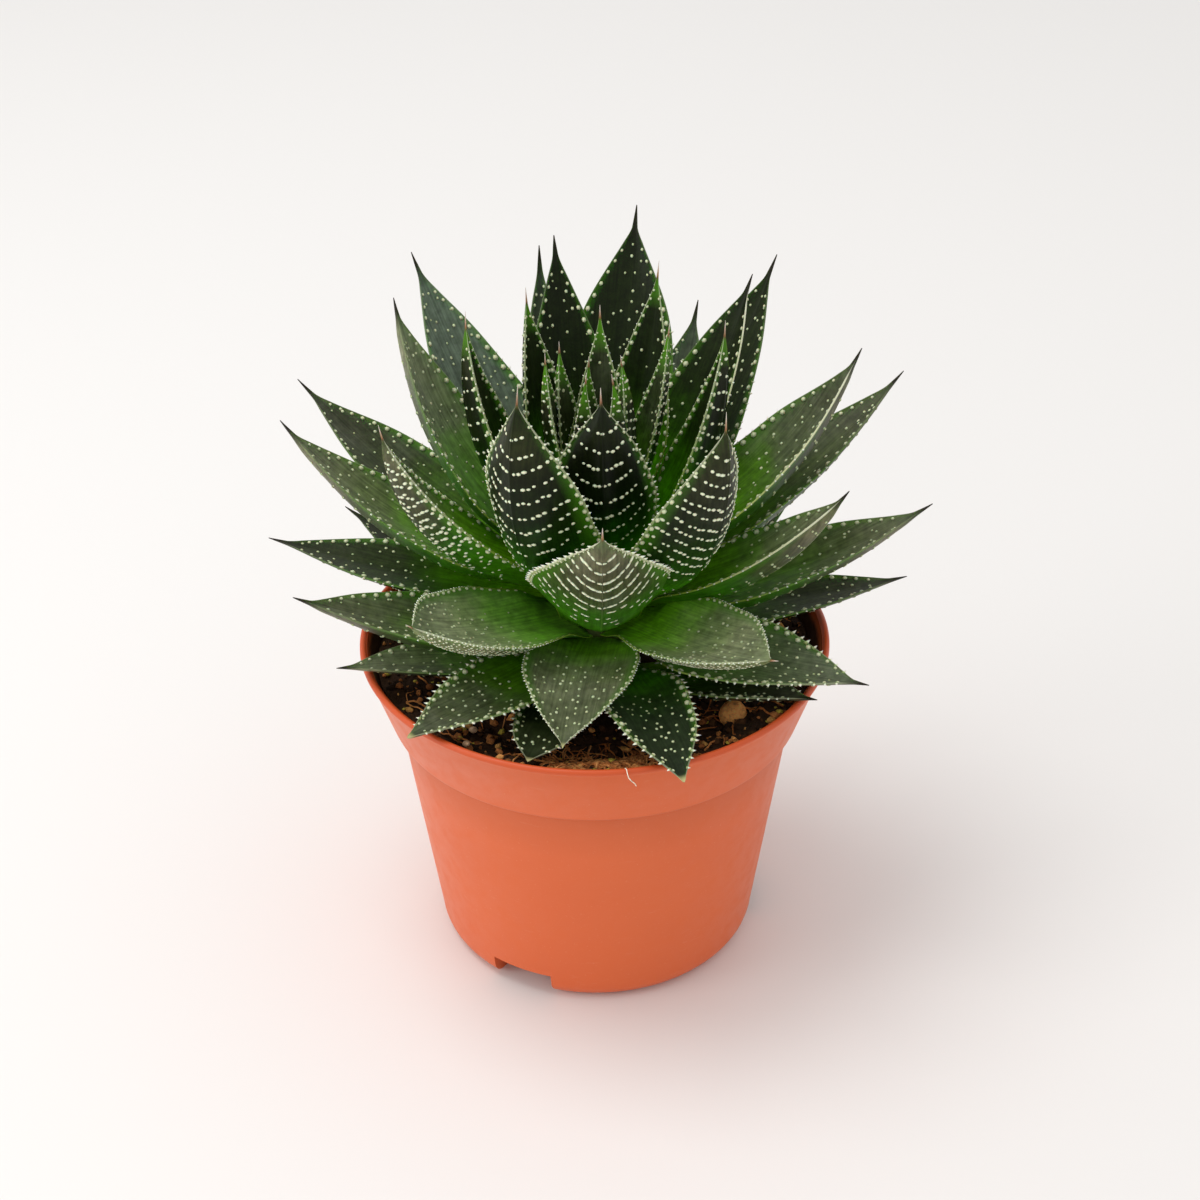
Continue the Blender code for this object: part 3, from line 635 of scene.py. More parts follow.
def add_pearls(soup, leaf, rng):
    """A row of larger pale bumps just inside each margin, drawn out and joined at the root.
    On young leaves they sit on the margin itself and show on both sides."""
    length = leaf_length(leaf)
    inset = 0.3 - 0.25 * leaf.skin["bristle"]
    for sign in (-1.0, 1.0):
        shares, sides, sizes = [], [], []
        along = PEARLS_FROM * length
        while along < PEARLS_TO * leaf.blade * length:
            share = along / length
            half = half_width(leaf, share)
            grown = smooth_step(share / 0.45)
            small = 1.0 - 0.5 * smooth_step((share - 0.6) / 0.35)
            radius = leaf.skin["pearl"] * (0.28 + 0.22 * grown) * small
            shares.append(share)
            sides.append(sign * (1.0 - min(0.5, (inset + 0.5 * radius) / half)))
            sizes.append((radius * (2.2 - 1.0 * grown), radius, (0.4 + 0.5 * grown) * radius))
            pitch = 2.2 - 0.5 * smooth_step((share - 0.6) / 0.3)
            along += leaf.skin["pearl"] * pitch * (0.9 + 0.2 * rng.random())
        for under in (False, True)[:1 + int(leaf.skin["bristle"])]:
            add_domes(soup, leaf, shares, sides, under, sizes, np.full(len(shares), 0.6))


def add_teeth(soup, leaf, rng):
    """White teeth on both margins, pointing out and a little towards the point."""
    length = leaf_length(leaf)
    every = leaf.skin["every"]
    for sign in (-1.0, 1.0):
        steps = np.arange(TEETH_FROM * length, leaf.skin["to"] * leaf.blade * length, every)
        shares = (steps + 0.4 * every * (rng.random(len(steps)) - 0.5)) / length
        middle, along, across, upward = skeleton(leaf, shares)
        half, _, lift = leaf_sizes(leaf, shares)
        spots = middle + (sign * (half + 0.1))[:, None] * across + lift[:, None] * upward
        aim = unit(sign * across + (0.4 + 0.3 * rng.random(len(shares)))[:, None] * along
                   + (0.3 * rng.random(len(shares)))[:, None] * upward)
        wide = unit(np.cross(upward, aim))
        grown = smooth_step((shares - 0.12) / 0.25)
        grown *= 1.0 - 0.5 * smooth_step((shares - 0.7) / 0.25)
        reach = leaf.skin["tooth"] * (0.8 + 0.4 * rng.random(len(shares))) * (0.3 + 0.7 * grown)
        foot = 0.16 + 0.2 * reach
        points = place(THORN_POINTS, spots, aim, wide, np.cross(aim, wide),
                       np.stack([reach, 1.5 * foot, foot], 1))
        each = len(THORN_POINTS)
        soup.add(points, repeat_faces(THORN_FACES, each, len(shares)), 2,
                 along=np.repeat(shares, each), crown=np.tile(THORN_POINTS[:, 0], len(shares)))


LEAF_CHANNELS = ("along", "across", "half", "rim", "edge", "under", "pale", "young", "bud",
                 "early", "tone", "cool", "stub", "crown", "bright")


def add_leaf(soup, leaf, rng):
    add_blade(soup, leaf)
    add_upper_spots(soup, leaf, rng)
    add_under_rows(soup, leaf, rng)
    add_pearls(soup, leaf, rng)
    add_teeth(soup, leaf, rng)


def build_leaves(paints):
    for index, leaf in enumerate(LEAVES):
        soup = Soup(LEAF_CHANNELS)
        add_leaf(soup, leaf, np.random.default_rng(index))
        piece = soup.make("lace_" + leaf.name, paints)
        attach(piece, "root")
        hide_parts(leaf.name)


def build_heart(paints):
    soup = Soup(LEAF_CHANNELS)
    for index, leaf in enumerate(HEART_LEAVES):
        add_leaf(soup, leaf, np.random.default_rng(100 + index))
    piece = soup.make("lace_heart", paints)
    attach(piece, "root")
    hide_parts("heart")


# Materials

class Paint:
    """A Principled material and the nodes that colour it. Underscores in the settings stand
    for spaces in the names of its sockets."""

    def __init__(self, name, roughness, **settings):
        self.material = bpy.data.materials.new(name)
        self.material.use_nodes = True
        self.tree = self.material.node_tree
        self.inputs = self.tree.nodes["Principled BSDF"].inputs
        self.inputs["Roughness"].default_value = roughness
        for socket, value in settings.items():
            self.inputs[socket.replace("_", " ")].default_value = value

    def fill(self, socket, value):
        """Links a node's output to the socket, or sets a plain value."""
        if isinstance(value, bpy.types.NodeSocket):
            self.tree.links.new(value, socket)
        elif isinstance(value, tuple) and len(value) == 3 and socket.type == "RGBA":
            socket.default_value = (*value, 1.0)
        else:
            socket.default_value = value

    def node(self, kind, inputs, output=0, **settings):
        """The output of a new node with these inputs and settings."""
        made = self.tree.nodes.new("ShaderNode" + kind)
        for setting, value in settings.items():
            setattr(made, setting, value)
        for socket, value in inputs.items():
            self.fill(made.inputs[socket], value)
        return made.outputs[output]

    def channel(self, name):
        return self.node("Attribute", {}, "Fac", attribute_type="GEOMETRY", attribute_name=name)

    def space(self):
        return self.node("TexCoord", {}, "Object")

    def math(self, operation, first, second):
        return self.node("Math", {0: first, 1: second}, operation=operation)

    def times(self, first, second):
        return self.math("MULTIPLY", first, second)

    def plus(self, first, second):
        return self.math("ADD", first, second)

    def mix(self, share, first, second, kind="MIX"):
        return self.node("Mix", {"Factor": share, 6: first, 7: second}, 2, data_type="RGBA",
                         blend_type=kind)

    def tint(self, colour, other):
        """Two colours multiplied."""
        return self.mix(1.0, colour, other, "MULTIPLY")

    def ramp(self, share, *stops):
        """A colour ramp. The stops are pairs of a place and a colour, or a place and a grey."""
        band = self.tree.nodes.new("ShaderNodeValToRGB")
        elements = band.color_ramp.elements
        while len(elements) < len(stops):
            elements.new(0.5)
        for element, (place_at, colour) in zip(elements, stops):
            element.position = place_at
            element.color = (*colour, 1.0) if isinstance(colour, tuple) else (colour,) * 3 + (1.0,)
        self.fill(band.inputs["Fac"], share)
        return band.outputs["Color"]

    def cloud(self, vector, scale, detail=3.0, roughness=0.55):
        return self.node("TexNoise", {"Vector": vector, "Scale": scale, "Detail": detail,
                                      "Roughness": roughness}, "Fac")

    def stretched(self, vector, scale):
        return self.node("Mapping", {"Vector": vector, "Scale": scale}, "Vector")

    def finish(self, colour, relief, depth, strength=1.0):
        """Links the colour and a bump, whose depth is in millimetres, and gives the material."""
        self.fill(self.inputs["Base Color"], colour)
        self.fill(self.inputs["Normal"], self.node(
            "Bump", {"Strength": strength, "Distance": depth * MM, "Height": relief}, "Normal"))
        return self.material


def flesh_colour(paint, space, drift, streaks):
    """The flesh alone: bright green at the root, nearly black green in the middle and grey green
    at the point, made lighter or darker leaf by leaf with painted light and shade, with a pale
    bluish glaucous coat that is partly a painted reflection, pale dusty patches that are partly
    painted sheen, fibres and mottling."""
    shifted = paint.plus(paint.plus(paint.channel("along"), drift), paint.channel("early"))
    # Painted light and shade, leaf by leaf: above 1 for a lit leaf, below 1 for a shaded one.
    tone = paint.channel("tone")
    upper = paint.ramp(shifted, (0.0, (0.14, 0.32, 0.004)), (0.24, (0.09, 0.28, 0.003)),
                       (0.42, (0.045, 0.115, 0.006)), (0.58, (0.038, 0.055, 0.017)),
                       (0.8, (0.044, 0.050, 0.026)), (0.95, (0.030, 0.035, 0.018)))
    under = paint.ramp(shifted, (0.0, (0.08, 0.22, 0.003)), (0.26, (0.035, 0.16, 0.002)),
                       (0.42, (0.014, 0.062, 0.002)), (0.56, (0.013, 0.026, 0.004)),
                       (0.7, (0.022, 0.024, 0.010)), (0.82, (0.048, 0.046, 0.024)),
                       (0.95, (0.030, 0.036, 0.014)))
    colour = paint.mix(paint.channel("under"), upper, under)
    # From the middle of the leaf on, the flesh takes its painted light and shade instead of an
    # even 1.1.
    grown = paint.ramp(shifted, (0.27, 0.0), (0.53, 1.0))
    colour = paint.tint(colour, paint.mix(grown, (1.1, 1.1, 1.1), tone))
    # Leaves painted dark for shade are also painted greener and more saturated.
    deep = paint.ramp(tone, (0.2, (0.75, 1.15, 0.4)), (0.95, (1.0, 1.0, 1.0)))
    colour = paint.tint(colour, deep)
    # A pale bluish coat from the middle of the leaf on, partly glaucous coat and partly a painted
    # reflection.
    bloom_and_reflection_share = paint.times(paint.channel("cool"), paint.ramp(shifted, (0.1, 0.3), (0.4, 0.85)))
    colour = paint.mix(bloom_and_reflection_share, colour, (0.12, 0.165, 0.118))
    # Pale patches on the outer part of lit leaves, partly a dusty film and partly painted sheen.
    patches = paint.ramp(paint.cloud(space, 60.0, 5.0, 0.65), (0.48, 0.0), (0.72, 0.35))
    dust_and_sheen = paint.times(paint.ramp(tone, (0.5, 0.0), (1.0, 1.0)), patches)
    dust_and_sheen = paint.times(dust_and_sheen, paint.ramp(shifted, (0.3, 0.0), (0.55, 1.0)))
    colour = paint.mix(dust_and_sheen, colour, (0.16, 0.18, 0.13))
    colour = paint.tint(colour, paint.ramp(streaks, (0.35, 0.75), (0.65, 1.25)))
    mottle = paint.ramp(paint.cloud(space, 420.0), (0.35, 0.78), (0.65, 1.22))
    return paint.tint(colour, mottle)


def rim_colour(paint, colour):
    """Green rims and narrow green tips on young leaves, and a pale line along the margin."""
    along, bud = paint.channel("along"), paint.channel("bud")
    lit_rim = paint.ramp(paint.channel("rim"), (0.8, 0.0), (0.97, 0.7))
    inner_green = paint.ramp(along, (0.55, 1.0), (0.85, 0.15))
    rim = paint.times(lit_rim, paint.math("MAXIMUM", inner_green, bud))
    colour = paint.mix(rim, colour, (0.065, 0.22, 0.008))
    narrow = paint.ramp(paint.math("DIVIDE", paint.channel("half"), 10.0),
                        (0.08, 0.9), (0.22, 0.0))
    green_tip = paint.times(narrow, paint.ramp(along, (0.4, 0.0), (0.5, 1.0)))
    colour = paint.mix(paint.times(green_tip, bud), colour, (0.09, 0.27, 0.012))
    margin = paint.ramp(along, (0.0, (0.2, 0.32, 0.02)), (0.35, (0.34, 0.44, 0.08)),
                        (0.6, (0.56, 0.6, 0.34)), (1.0, (0.7, 0.72, 0.55)))
    joined = paint.ramp(along, (0.3, 0.7), (0.55, 0.0))
    line = paint.times(paint.ramp(paint.channel("edge"), (0.3, 0.0), (0.9, 1.0)),
                       paint.math("MAXIMUM", paint.channel("pale"), joined))
    return paint.mix(line, colour, margin)


def tip_colour(paint, colour):
    """A dried dark awn, a white bristle on young leaves, or a pale scar where it broke off."""
    along = paint.channel("along")
    aged = paint.mix(paint.ramp(along, (0.9, 0.0), (0.965, 1.0)), colour, (0.014, 0.010, 0.007))
    bristle = paint.ramp(along, (0.935, (0.10, 0.07, 0.03)), (0.945, (0.3, 0.13, 0.07)),
                         (0.965, (0.5, 0.33, 0.24)), (0.985, (0.7, 0.62, 0.54)))
    fresh = paint.mix(paint.ramp(along, (0.925, 0.0), (0.94, 1.0)), colour, bristle)
    tipped = paint.mix(paint.channel("young"), aged, fresh)
    broken = paint.mix(paint.ramp(along, (0.96, 0.0), (0.985, 1.0)), colour, (0.45, 0.42, 0.2))
    return paint.mix(paint.channel("stub"), tipped, broken)


def leaf_flesh():
    paint = Paint("aloe_flesh", 0.4, Subsurface_Weight=0.08, Subsurface_Scale=0.004,
                  Subsurface_Radius=(0.4, 1.0, 0.15), Specular_IOR_Level=0.14)
    along, space = paint.channel("along"), paint.space()
    grain = paint.node("CombineXYZ", {0: paint.times(along, 4.0), 1: paint.channel("across")})
    streaks = paint.cloud(paint.stretched(grain, (1.0, 1.6, 1.0)), 1.0, 4.0)
    drift = paint.times(paint.math("SUBTRACT", paint.cloud(space, 90.0), 0.5), 0.3)
    colour = flesh_colour(paint, space, drift, streaks)
    colour = tip_colour(paint, rim_colour(paint, colour))
    gloss = paint.ramp(paint.plus(along, drift), (0.1, 0.3), (0.6, 0.4))
    paint.fill(paint.inputs["Roughness"], gloss)
    return paint.finish(colour, paint.plus(paint.times(streaks, 0.6), paint.cloud(space, 900.0)),
                        0.14, 0.5)


def white_skin(name, colour):
    """A pale, slightly translucent skin with a fine grain."""
    paint = Paint(name, 0.4, Subsurface_Weight=0.15, Subsurface_Scale=0.001)
    return paint.finish(colour(paint), paint.cloud(paint.space(), 2500.0), 0.03, 0.4)


def spot_colour(paint):
    """Crowns from dull green to cream, on a green foot."""
    cream = paint.mix(paint.channel("bright"), (0.4, 0.5, 0.2), (0.92, 0.93, 0.68))
    crown = paint.ramp(paint.channel("crown"), (0.0, 0.0), (0.8, 1.0))
    return paint.mix(crown, (0.07, 0.14, 0.03), cream)


def tooth_colour(paint):
    return paint.ramp(paint.channel("crown"), (0.0, (0.36, 0.45, 0.16)),
                      (0.3, (0.8, 0.83, 0.62)), (1.0, (0.95, 0.95, 0.86)))


def pot_plastic():
    """Satin terracotta plastic, more saturated where the thin lip lets light through."""
    paint = Paint("pot_plastic_satin", 0.42, Specular_IOR_Level=0.38)
    space = paint.space()
    height = paint.math("DIVIDE", paint.node("SeparateXYZ", {0: space}, "Z"), POT_HEIGHT * MM)
    body = paint.mix(paint.cloud(space, 28.0), (0.70, 0.125, 0.032), (0.76, 0.15, 0.042))
    specks = paint.ramp(paint.cloud(space, 1800.0, 2.0), (0.66, 0.0), (0.76, 0.35))
    body = paint.mix(specks, body, (0.8, 0.3, 0.16))
    scratches = paint.cloud(paint.stretched(space, (1.0, 1.0, 5.0)), 150.0, 5.0, 0.7)
    body = paint.mix(paint.ramp(scratches, (0.62, 0.0), (0.8, 0.3)), body, (0.8, 0.33, 0.2))
    # Painted shadow: a darker band just under the collar's step.
    collar_shadow = paint.ramp(height, (0.6, 1.0), (0.745, 0.86), (0.77, 0.84), (0.785, 1.0))
    body = paint.tint(body, collar_shadow)
    # Painted shade: the inner wall below the lip is darkened nearly to black, with an uneven upper
    # edge.
    uneven = paint.plus(height, paint.times(paint.cloud(space, 160.0, 4.0), 0.03))
    inner_wall_shade = paint.times(paint.channel("inside"), paint.ramp(uneven, (0.975, 1.0), (0.995, 0.0)))
    body = paint.mix(inner_wall_shade, body, (0.06, 0.022, 0.01))
    lip = paint.ramp(height, (0.982, 0.0), (0.992, 1.0))
    dust_and_sheen = paint.ramp(paint.cloud(space, 220.0, 4.0), (0.4, 0.38), (0.7, 0.5))
    paint.fill(paint.inputs["Roughness"], dust_and_sheen)
    return paint.finish(paint.mix(lip, body, (0.60, 0.085, 0.018)),
                        paint.cloud(space, 1400.0, 2.0), 0.02, 0.35)


def peat():
    """Dark crumbs, with a tint channel that picks out the fibres, bark and stones."""
    paint = Paint("peat", 0.9, Specular_IOR_Level=0.25)
    space = paint.space()
    tint = paint.ramp(
        paint.channel("tint"), (0.0, (0.012, 0.006, 0.003)), (0.3, (0.10, 0.042, 0.014)),
        (0.5, (0.48, 0.16, 0.04)), (0.65, (0.75, 0.34, 0.11)), (0.8, (0.6, 0.48, 0.07)),
        (0.9, (1.0, 0.45, 0.13)), (1.0, (0.95, 0.92, 0.76)))
    grain = paint.ramp(paint.cloud(space, 900.0, 4.0, 0.7), (0.3, 0.6), (0.7, 1.5))
    return paint.finish(paint.tint(tint, grain), paint.cloud(space, 1600.0, 5.0, 0.7), 0.4)


def stem_skin():
    paint = Paint("stem_skin", 0.6)
    colour = paint.ramp(paint.cloud(paint.space(), 160.0, 4.0), (0.3, (0.05, 0.09, 0.01)),
                        (0.7, (0.16, 0.2, 0.05)))
    return paint.finish(colour, paint.cloud(paint.space(), 700.0), 0.2)


# Pot

def outer_radius(height):
    if height < STEP_HEIGHT:
        return BASE_RADIUS + WALL_SLOPE * height
    return COLLAR_FOOT_RADIUS + COLLAR_SLOPE * (height - STEP_HEIGHT)


def pot_profile():
    """The solids' profile with rounder corners, from the middle of the floor inside, over the
    lip and down the outer side to the axis under the foot."""
    inside = [
        (0.0, FLOOR),
        (outer_radius(FLOOR) - WALL - 1.0, FLOOR),
        (outer_radius(FLOOR + 1.0) - WALL, FLOOR + 1.0),
        (WALL_TOP_RADIUS - WALL, STEP_HEIGHT - STEP_FALL - 0.6),
        (COLLAR_FOOT_RADIUS - WALL - 0.3, STEP_HEIGHT + 0.3),
        (COLLAR_FOOT_RADIUS - WALL + 0.2, STEP_HEIGHT + 1.2),
        (RIM_RADIUS - WALL - 0.1, POT_HEIGHT - 0.7),
    ]
    middle = RIM_RADIUS - 0.4
    lip = [(middle + (0.9 if turn < pi / 2 else 0.8) * cos(turn),
            POT_HEIGHT - 0.8 + 0.8 * sin(turn))
           for turn in np.radians((165, 135, 105, 75, 45, 15))]
    outside = [
        (RIM_RADIUS + LIP_BEAD, POT_HEIGHT - 1.1),
        (RIM_RADIUS + 0.2, POT_HEIGHT - 1.6),
        (RIM_RADIUS - 0.35, POT_HEIGHT - 2.0),
        (COLLAR_FOOT_RADIUS + 0.35, STEP_HEIGHT + 1.0),
        (COLLAR_FOOT_RADIUS + 0.1, STEP_HEIGHT + 0.4),
        (COLLAR_FOOT_RADIUS - 0.3, STEP_HEIGHT),
        (WALL_TOP_RADIUS + 0.4, STEP_HEIGHT - 0.6),
        (WALL_TOP_RADIUS + 0.05, STEP_HEIGHT - STEP_FALL),
        (WALL_TOP_RADIUS - 0.1, STEP_HEIGHT - 2.0),
    ]
    corner = outer_radius(CORNER_RADIUS) - CORNER_RADIUS
    foot = [(corner + CORNER_RADIUS * cos(turn), CORNER_RADIUS * (1.0 - sin(turn)))
            for turn in np.linspace(0.0, pi / 2, 9)]
    ring = corner - FOOT_RING_WIDTH
    underside = [(ring, 0.0), (ring - 0.8, FOOT_RECESS), (FOOT_PAD_RADIUS + 0.8, FOOT_RECESS),
                 (FOOT_PAD_RADIUS, 0.0), (0.0, 0.0)]
    return inside + lip + outside + foot + underside


def cut(body, cutter):
    tool = body.modifiers.new("Cut " + cutter.name, "BOOLEAN")
    tool.operation = "DIFFERENCE"
    tool.object = cutter
    tool.solver = "EXACT"


def apply_modifiers(body):
    graph = bpy.context.evaluated_depsgraph_get()
    finished = bpy.data.meshes.new_from_object(body.evaluated_get(graph))
    body.modifiers.clear()
    body.data = finished


def build_pot(paint):
    points = [(radius * MM, 0.0, height * MM) for radius, height in pot_profile()]
    mesh = bpy.data.meshes.new("nursery_pot")
    mesh.from_pydata(points, [(i, i + 1) for i in range(len(points) - 1)], [])
    mesh.materials.append(paint)
    pot = new_object("nursery_pot", mesh)
    screw = pot.modifiers.new("Screw", "SCREW")
    screw.steps = POT_SIDES
    screw.render_steps = POT_SIDES
    screw.use_merge_vertices = True
    screw.merge_threshold = 0.00001
    cutters = []
    for i in range(DRAIN_COUNT):
        angle = radians(DRAIN_FIRST_AZIMUTH) + tau * i / DRAIN_COUNT
        bpy.ops.mesh.primitive_cylinder_add(
            vertices=32, radius=DRAIN_RADIUS * MM, depth=12.0 * MM,
            location=(DRAIN_CIRCLE * cos(angle) * MM, DRAIN_CIRCLE * sin(angle) * MM, 0.0))
        cutters.append(bpy.context.object)
    for azimuth in NOTCH_AZIMUTHS:
        angle = radians(azimuth)
        bpy.ops.mesh.primitive_cube_add(size=MM)
        notch = bpy.context.object
        notch.scale = NOTCH_SIZE
        notch.rotation_euler = (0.0, 0.0, angle)
        notch.location = (BASE_RADIUS * cos(angle) * MM, BASE_RADIUS * sin(angle) * MM, 0.0)
        cutters.append(notch)
    for cutter in cutters:
        cut(pot, cutter)
    apply_modifiers(pot)
    for cutter in cutters:
        bpy.data.objects.remove(cutter, do_unlink=True)
    inside = pot.data.attributes.new("inside", "FLOAT", "POINT")
    for vertex, mark in zip(pot.data.vertices, inside.data):
        radius, height = np.hypot(vertex.co.x, vertex.co.y) / MM, vertex.co.z / MM
        mark.value = float(height > FLOOR - 0.1 and radius < outer_radius(height) - 0.6 * WALL)
    pot.data.polygons.foreach_set("use_smooth", [True] * len(pot.data.polygons))
    pot.data.set_sharp_from_angle(angle=radians(40.0))
    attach(pot, "root")
    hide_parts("pot")


# Soil

def soil_height(x, y):
    """The bed is hollow where the plant stands and rises towards the wall of the pot."""
    radius = np.hypot(x, y)
    mound = SOIL_MOUND * (1.0 - (radius / RIM_RADIUS) ** 2)
    rise = SOIL_RISE * smooth_step((radius - SOIL_RISE_FROM) / SOIL_RISE_OVER)
    coarse = sin(0.31 * x + 1.3 * sin(0.23 * y)) * cos(0.27 * y + 0.8 * sin(0.19 * x))
    crumbs = noise.fractal(Vector((0.45 * x, 0.45 * y, 3.0)), 1.0, 2.0, 4)
    return SOIL_TOP + mound + rise + 0.5 * coarse + 0.9 * crumbs


def soil_bed(soup):
    """The whole filling of the pot, as one closed body with a rough top."""
    shoulder = SOIL_TOP + SOIL_RISE - 1.0
    edge = outer_radius(shoulder) - WALL - 0.2
    turns = [tau * k / SOIL_SIDES for k in range(SOIL_SIDES)]
    points = []
    for radius in edge * np.sqrt(np.linspace(0.0, 1.0, SOIL_RINGS + 1))[1:]:
        for x, y in [(radius * cos(turn), radius * sin(turn)) for turn in turns]:
            points.append((x, y, soil_height(x, y)))
    for radius, height in ((outer_radius(shoulder - 1.5) - WALL - 0.2, shoulder - 1.5),
                           (COLLAR_FOOT_RADIUS - WALL - 0.4, STEP_HEIGHT + 1.0),
                           (WALL_TOP_RADIUS - WALL - 0.4, STEP_HEIGHT - STEP_FALL - 1.0),
                           (outer_radius(FLOOR + 2.0) - WALL - 0.2, FLOOR + 2.0),
                           (outer_radius(FLOOR) - WALL - 2.0, FLOOR + 0.2)):
        points += [(radius * cos(turn), radius * sin(turn), height) for turn in turns]
    rows = len(points) // SOIL_SIDES
    points += [(0.0, 0.0, soil_height(0.0, 0.0)), (0.0, 0.0, FLOOR + 0.2)]
    start = soup.count
    soup.add(points, grid_faces(rows, SOIL_SIDES)[:, ::-1], 0, tint=0.1)
    soup.join(end_caps(rows, SOIL_SIDES), start, 0)


def lumps(rng, count):
    """Uneven lumps of about radius 1, as points and the faces of the first one."""
    golden = 0.5 * (1.0 + 5.0 ** 0.5)
    corners = []
    for a in (-1.0, 1.0):
        for b in (-golden, golden):
            corners += [(0.0, a, b), (a, b, 0.0), (b, 0.0, a)]
    corners = np.array(corners) / np.hypot(1.0, golden)
    near = np.linalg.norm(corners[:, None] - corners[None, :], axis=2) < 1.2
    faces = []
    for i in range(12):
        for j in range(i + 1, 12):
            for k in range(j + 1, 12):
                if near[i, j] and near[j, k] and near[i, k]:
                    normal = np.cross(corners[j] - corners[i], corners[k] - corners[i])
                    faces.append((i, j, k) if normal @ corners[i] > 0 else (i, k, j))
    return corners[None] * (0.7 + 0.5 * rng.random((count, 12, 1))), np.array(faces)


def random_turns(rng, count, azimuth, spread):
    return radians(azimuth) + radians(spread) * (2.0 * rng.random(count) - 1.0)


def add_crumbs(soup, rng, count, azimuth, spread, low, high, odds):
    """Crumbs of peat and bark of many sizes, lying on the bed in one part of the pot."""
    shapes, faces = lumps(rng, count)
    turns = random_turns(rng, count, azimuth, spread)
    radii = np.sqrt(low ** 2 + (high ** 2 - low ** 2) * rng.random(count))
    sizes = 0.45 + 1.4 * rng.random(count) ** 3
    radii = np.minimum(radii, outer_radius(SOIL_TOP + SOIL_RISE) - WALL - 0.7 - 1.2 * sizes)
    spin = tau * rng.random(count)
    kinds = rng.choice(CRUMB_TINTS, count, p=odds)
    for shape, turn, radius, size, roll, kind in zip(shapes, turns, radii, sizes, spin, kinds):
        x, y = radius * cos(turn), radius * sin(turn)
        shape = shape * (1.0, 0.75, 0.6) * size
        long = shape[:, :1] * (cos(roll), sin(roll), 0.2)
        wide = shape[:, 1:2] * (-sin(roll), cos(roll), 0.0)
        shape = long + wide + shape[:, 2:] * (0.0, 0.0, 1.0)
        soup.add(shape + (x, y, soil_height(x, y) + 0.2 * size), faces, 0, tint=kind)


def add_strand(soup, path, radius, tint):
    """A thin round fibre along these points."""
    path = np.asarray(path, float)
    along = unit(np.gradient(path, axis=0))
    across = unit(np.cross(along, (0.3, 0.2, 0.93)))
    upward = np.cross(along, across)
    rings = [path + radius * (cos(turn) * across + sin(turn) * upward)
             for turn in (0.0, 0.5 * pi, pi, 1.5 * pi)]
    points = np.stack(rings, 1).reshape(-1, 3)
    last = len(points) - 4
    faces = grid_faces(len(path), 4).tolist()
    faces += [(0, 3, 2, 1), (last, last + 1, last + 2, last + 3)]
    soup.add(points, faces, 0, tint=tint)


def add_fibres(soup, rng, count, azimuth, spread, low, high):
    """Coir fibres that curl over the bed in one part of the pot."""
    for turn in random_turns(rng, count, azimuth, spread):
        radius = low + (high - low) * rng.random()
        spot = np.array((radius * cos(turn), radius * sin(turn)))
        heading = tau * rng.random()
        curl = 0.5 * (rng.random() - 0.5)
        stride = 0.9 + 1.3 * rng.random()
        path = []
        for step in range(7):
            arc = sin(pi * step / 6.0)
            height = soil_height(*spot) + 0.2 + arc * (0.4 + 0.8 * rng.random())
            path.append((spot[0], spot[1], height))
            spot = spot + stride * np.array((cos(heading), sin(heading)))
            heading += curl + 0.2 * (rng.random() - 0.5)
            if np.hypot(*spot) > outer_radius(SOIL_TOP) - WALL - 1.0:
                break
        if len(path) > 3:
            add_strand(soup, path, 0.12 + 0.18 * rng.random(), 0.42 + 0.24 * rng.random())


def add_stone(soup, rng, x, y, size, tint):
    shapes, faces = lumps(rng, 1)
    shape = shapes[0] * (1.0, 0.85, 0.8) * size
    mesh = bpy.data.meshes.new("stone")
    mesh.from_pydata((shape + (x, y, soil_height(x, y) + 0.5 * size)).tolist(), [],
                     faces.tolist())
    body = new_object("stone", mesh)
    rounder = body.modifiers.new("Round", "SUBSURF")
    rounder.levels = 1
    apply_modifiers(body)
    points = [vertex.co[:] for vertex in body.data.vertices]
    soup.add(points, [face.vertices[:] for face in body.data.polygons], 0, tint=tint)
    bpy.data.objects.remove(body, do_unlink=True)


def build_soil(paint):
    rng = np.random.default_rng(7)
    soup = Soup(("tint",))
    soil_bed(soup)
    for patch in CRUMBS:
        add_crumbs(soup, rng, *patch)
    for patch in FIBRES:
        add_fibres(soup, rng, *patch)
    for spot, size, tint in zip(STONE_SPOTS, STONE_SIZES, STONE_TINTS):
        add_stone(soup, rng, *spot, size, tint)
    soil = soup.make("peat_soil", [paint])
    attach(soil, "root")
    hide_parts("soil")


def build_root_thread(paint):
    """A stray root that hangs over the lip at the front."""
    soup = Soup(("tint",))
    add_strand(soup, ROOT_PATH, 0.5 * ROOT_THICKNESS, 1.0)
    thread = soup.make("root_thread", [paint])
    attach(thread, "root")


# Stage

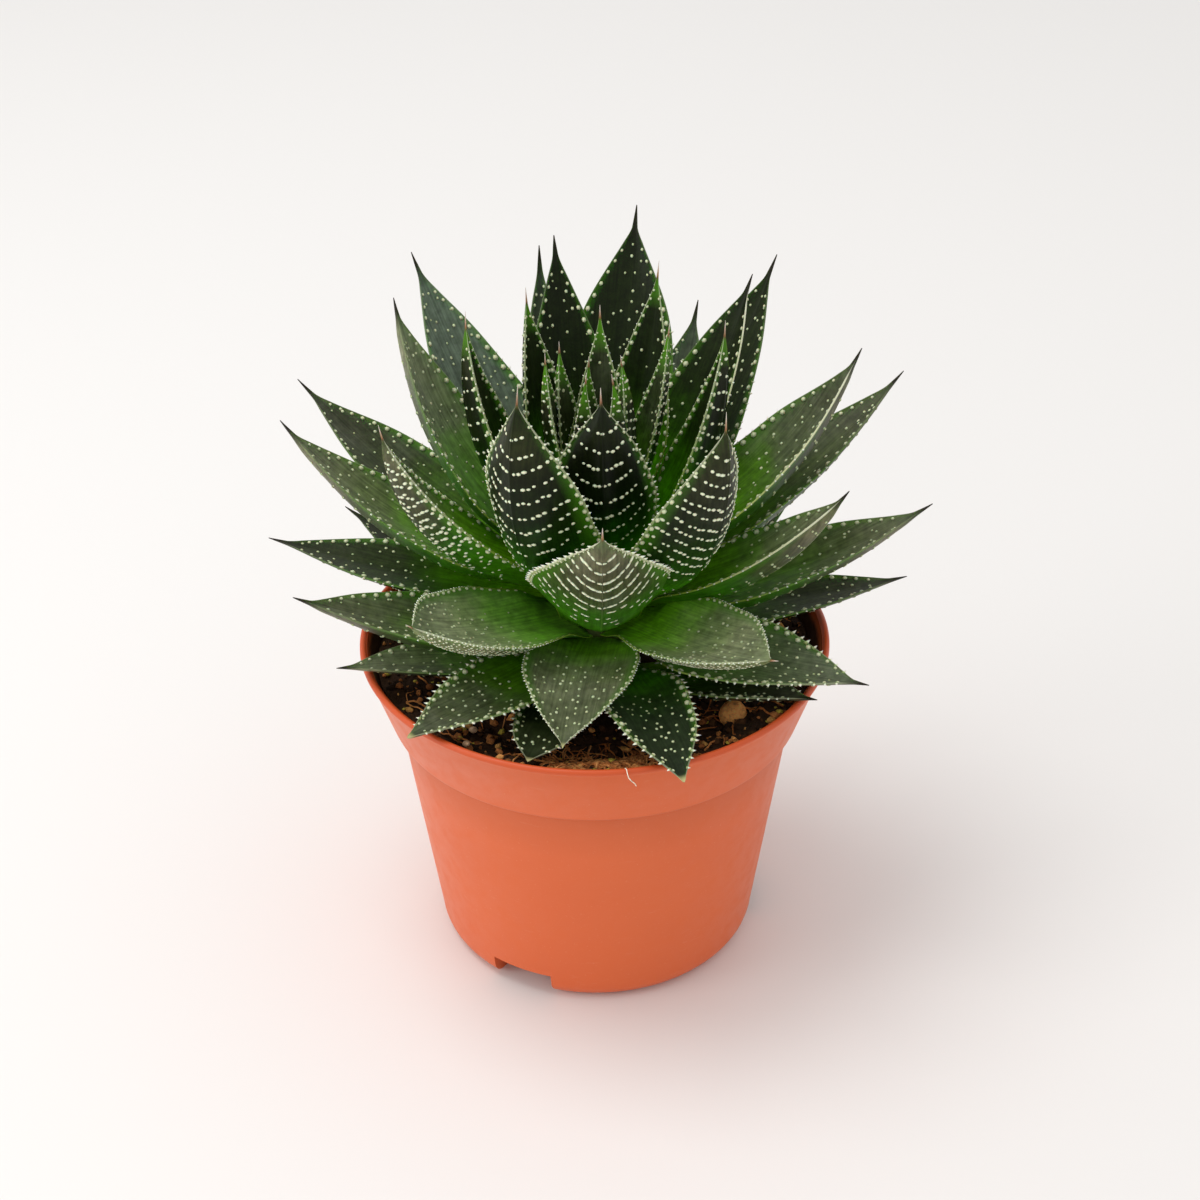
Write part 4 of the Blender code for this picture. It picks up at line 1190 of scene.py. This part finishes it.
def build_camera():
    focal = 0.5 * PICTURE_SIDE / tan(radians(0.5 * VIEW_ANGLE))
    lean = radians(VIEW_ELEVATION)
    forward = Vector((0.0, cos(lean), -sin(lean)))
    level = Vector((1.0, 0.0, 0.0))
    upright = level.cross(forward)
    roll = radians(VIEW_ROLL)
    right = cos(roll) * level + sin(roll) * upright
    up = cos(roll) * upright - sin(roll) * level
    aside = (RIM_CENTRE_PIXEL[0] - 0.5 * PICTURE_SIDE) / focal * VIEW_DISTANCE
    lower = (RIM_CENTRE_PIXEL[1] - 0.5 * PICTURE_SIDE) / focal * VIEW_DISTANCE
    place_at = (Vector((0.0, 0.0, POT_HEIGHT)) - forward * VIEW_DISTANCE
                - right * aside + up * lower) * MM
    data = bpy.data.cameras.new("camera")
    data.sensor_width = SENSOR
    data.lens = SENSOR * focal / PICTURE_SIDE
    data.clip_start = 0.01
    data.clip_end = 10.0
    camera = new_object("camera", data)
    turn = Matrix((right, up, -forward)).transposed()
    camera.matrix_world = Matrix.Translation(place_at) @ turn.to_4x4()
    bpy.context.scene.camera = camera


def area_light(name, place_at, size, power):
    data = bpy.data.lights.new(name, "AREA")
    data.shape = "DISK"
    data.size = size
    data.energy = power
    data.color = LIGHT_COLOUR
    lamp = new_object(name, data)
    lamp.location = place_at
    aim = LIT_SPOT - Vector(place_at)
    lamp.rotation_euler = aim.to_track_quat("-Z", "Y").to_euler()


def build_stage():
    bpy.ops.mesh.primitive_plane_add(size=FLOOR_SIDE, location=(0.0, 0.0, 0.0))
    floor = bpy.context.object
    floor.name = "floor"
    paint = Paint("floor_white", 0.55, Base_Color=FLOOR_COLOUR)
    floor.data.materials.append(paint.material)
    world = bpy.data.worlds.new("soft_room")
    world.use_nodes = True
    light = world.node_tree.nodes["Background"].inputs
    light["Color"].default_value = ROOM_COLOUR
    light["Strength"].default_value = ROOM_STRENGTH
    bpy.context.scene.world = world
    for light in LIGHTS:
        area_light(*light)
    bpy.context.scene.view_settings.view_transform = "Standard"


def main():
    build_camera()
    build_stage()
    paints = [leaf_flesh(), white_skin("aloe_spots", spot_colour),
              white_skin("aloe_teeth", tooth_colour)]
    build_leaves(paints)
    build_heart(paints)
    build_pot(pot_plastic())
    earth = peat()
    build_soil(earth)
    build_root_thread(earth)
    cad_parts["stem"].data.materials.clear()
    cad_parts["stem"].data.materials.append(stem_skin())


main()
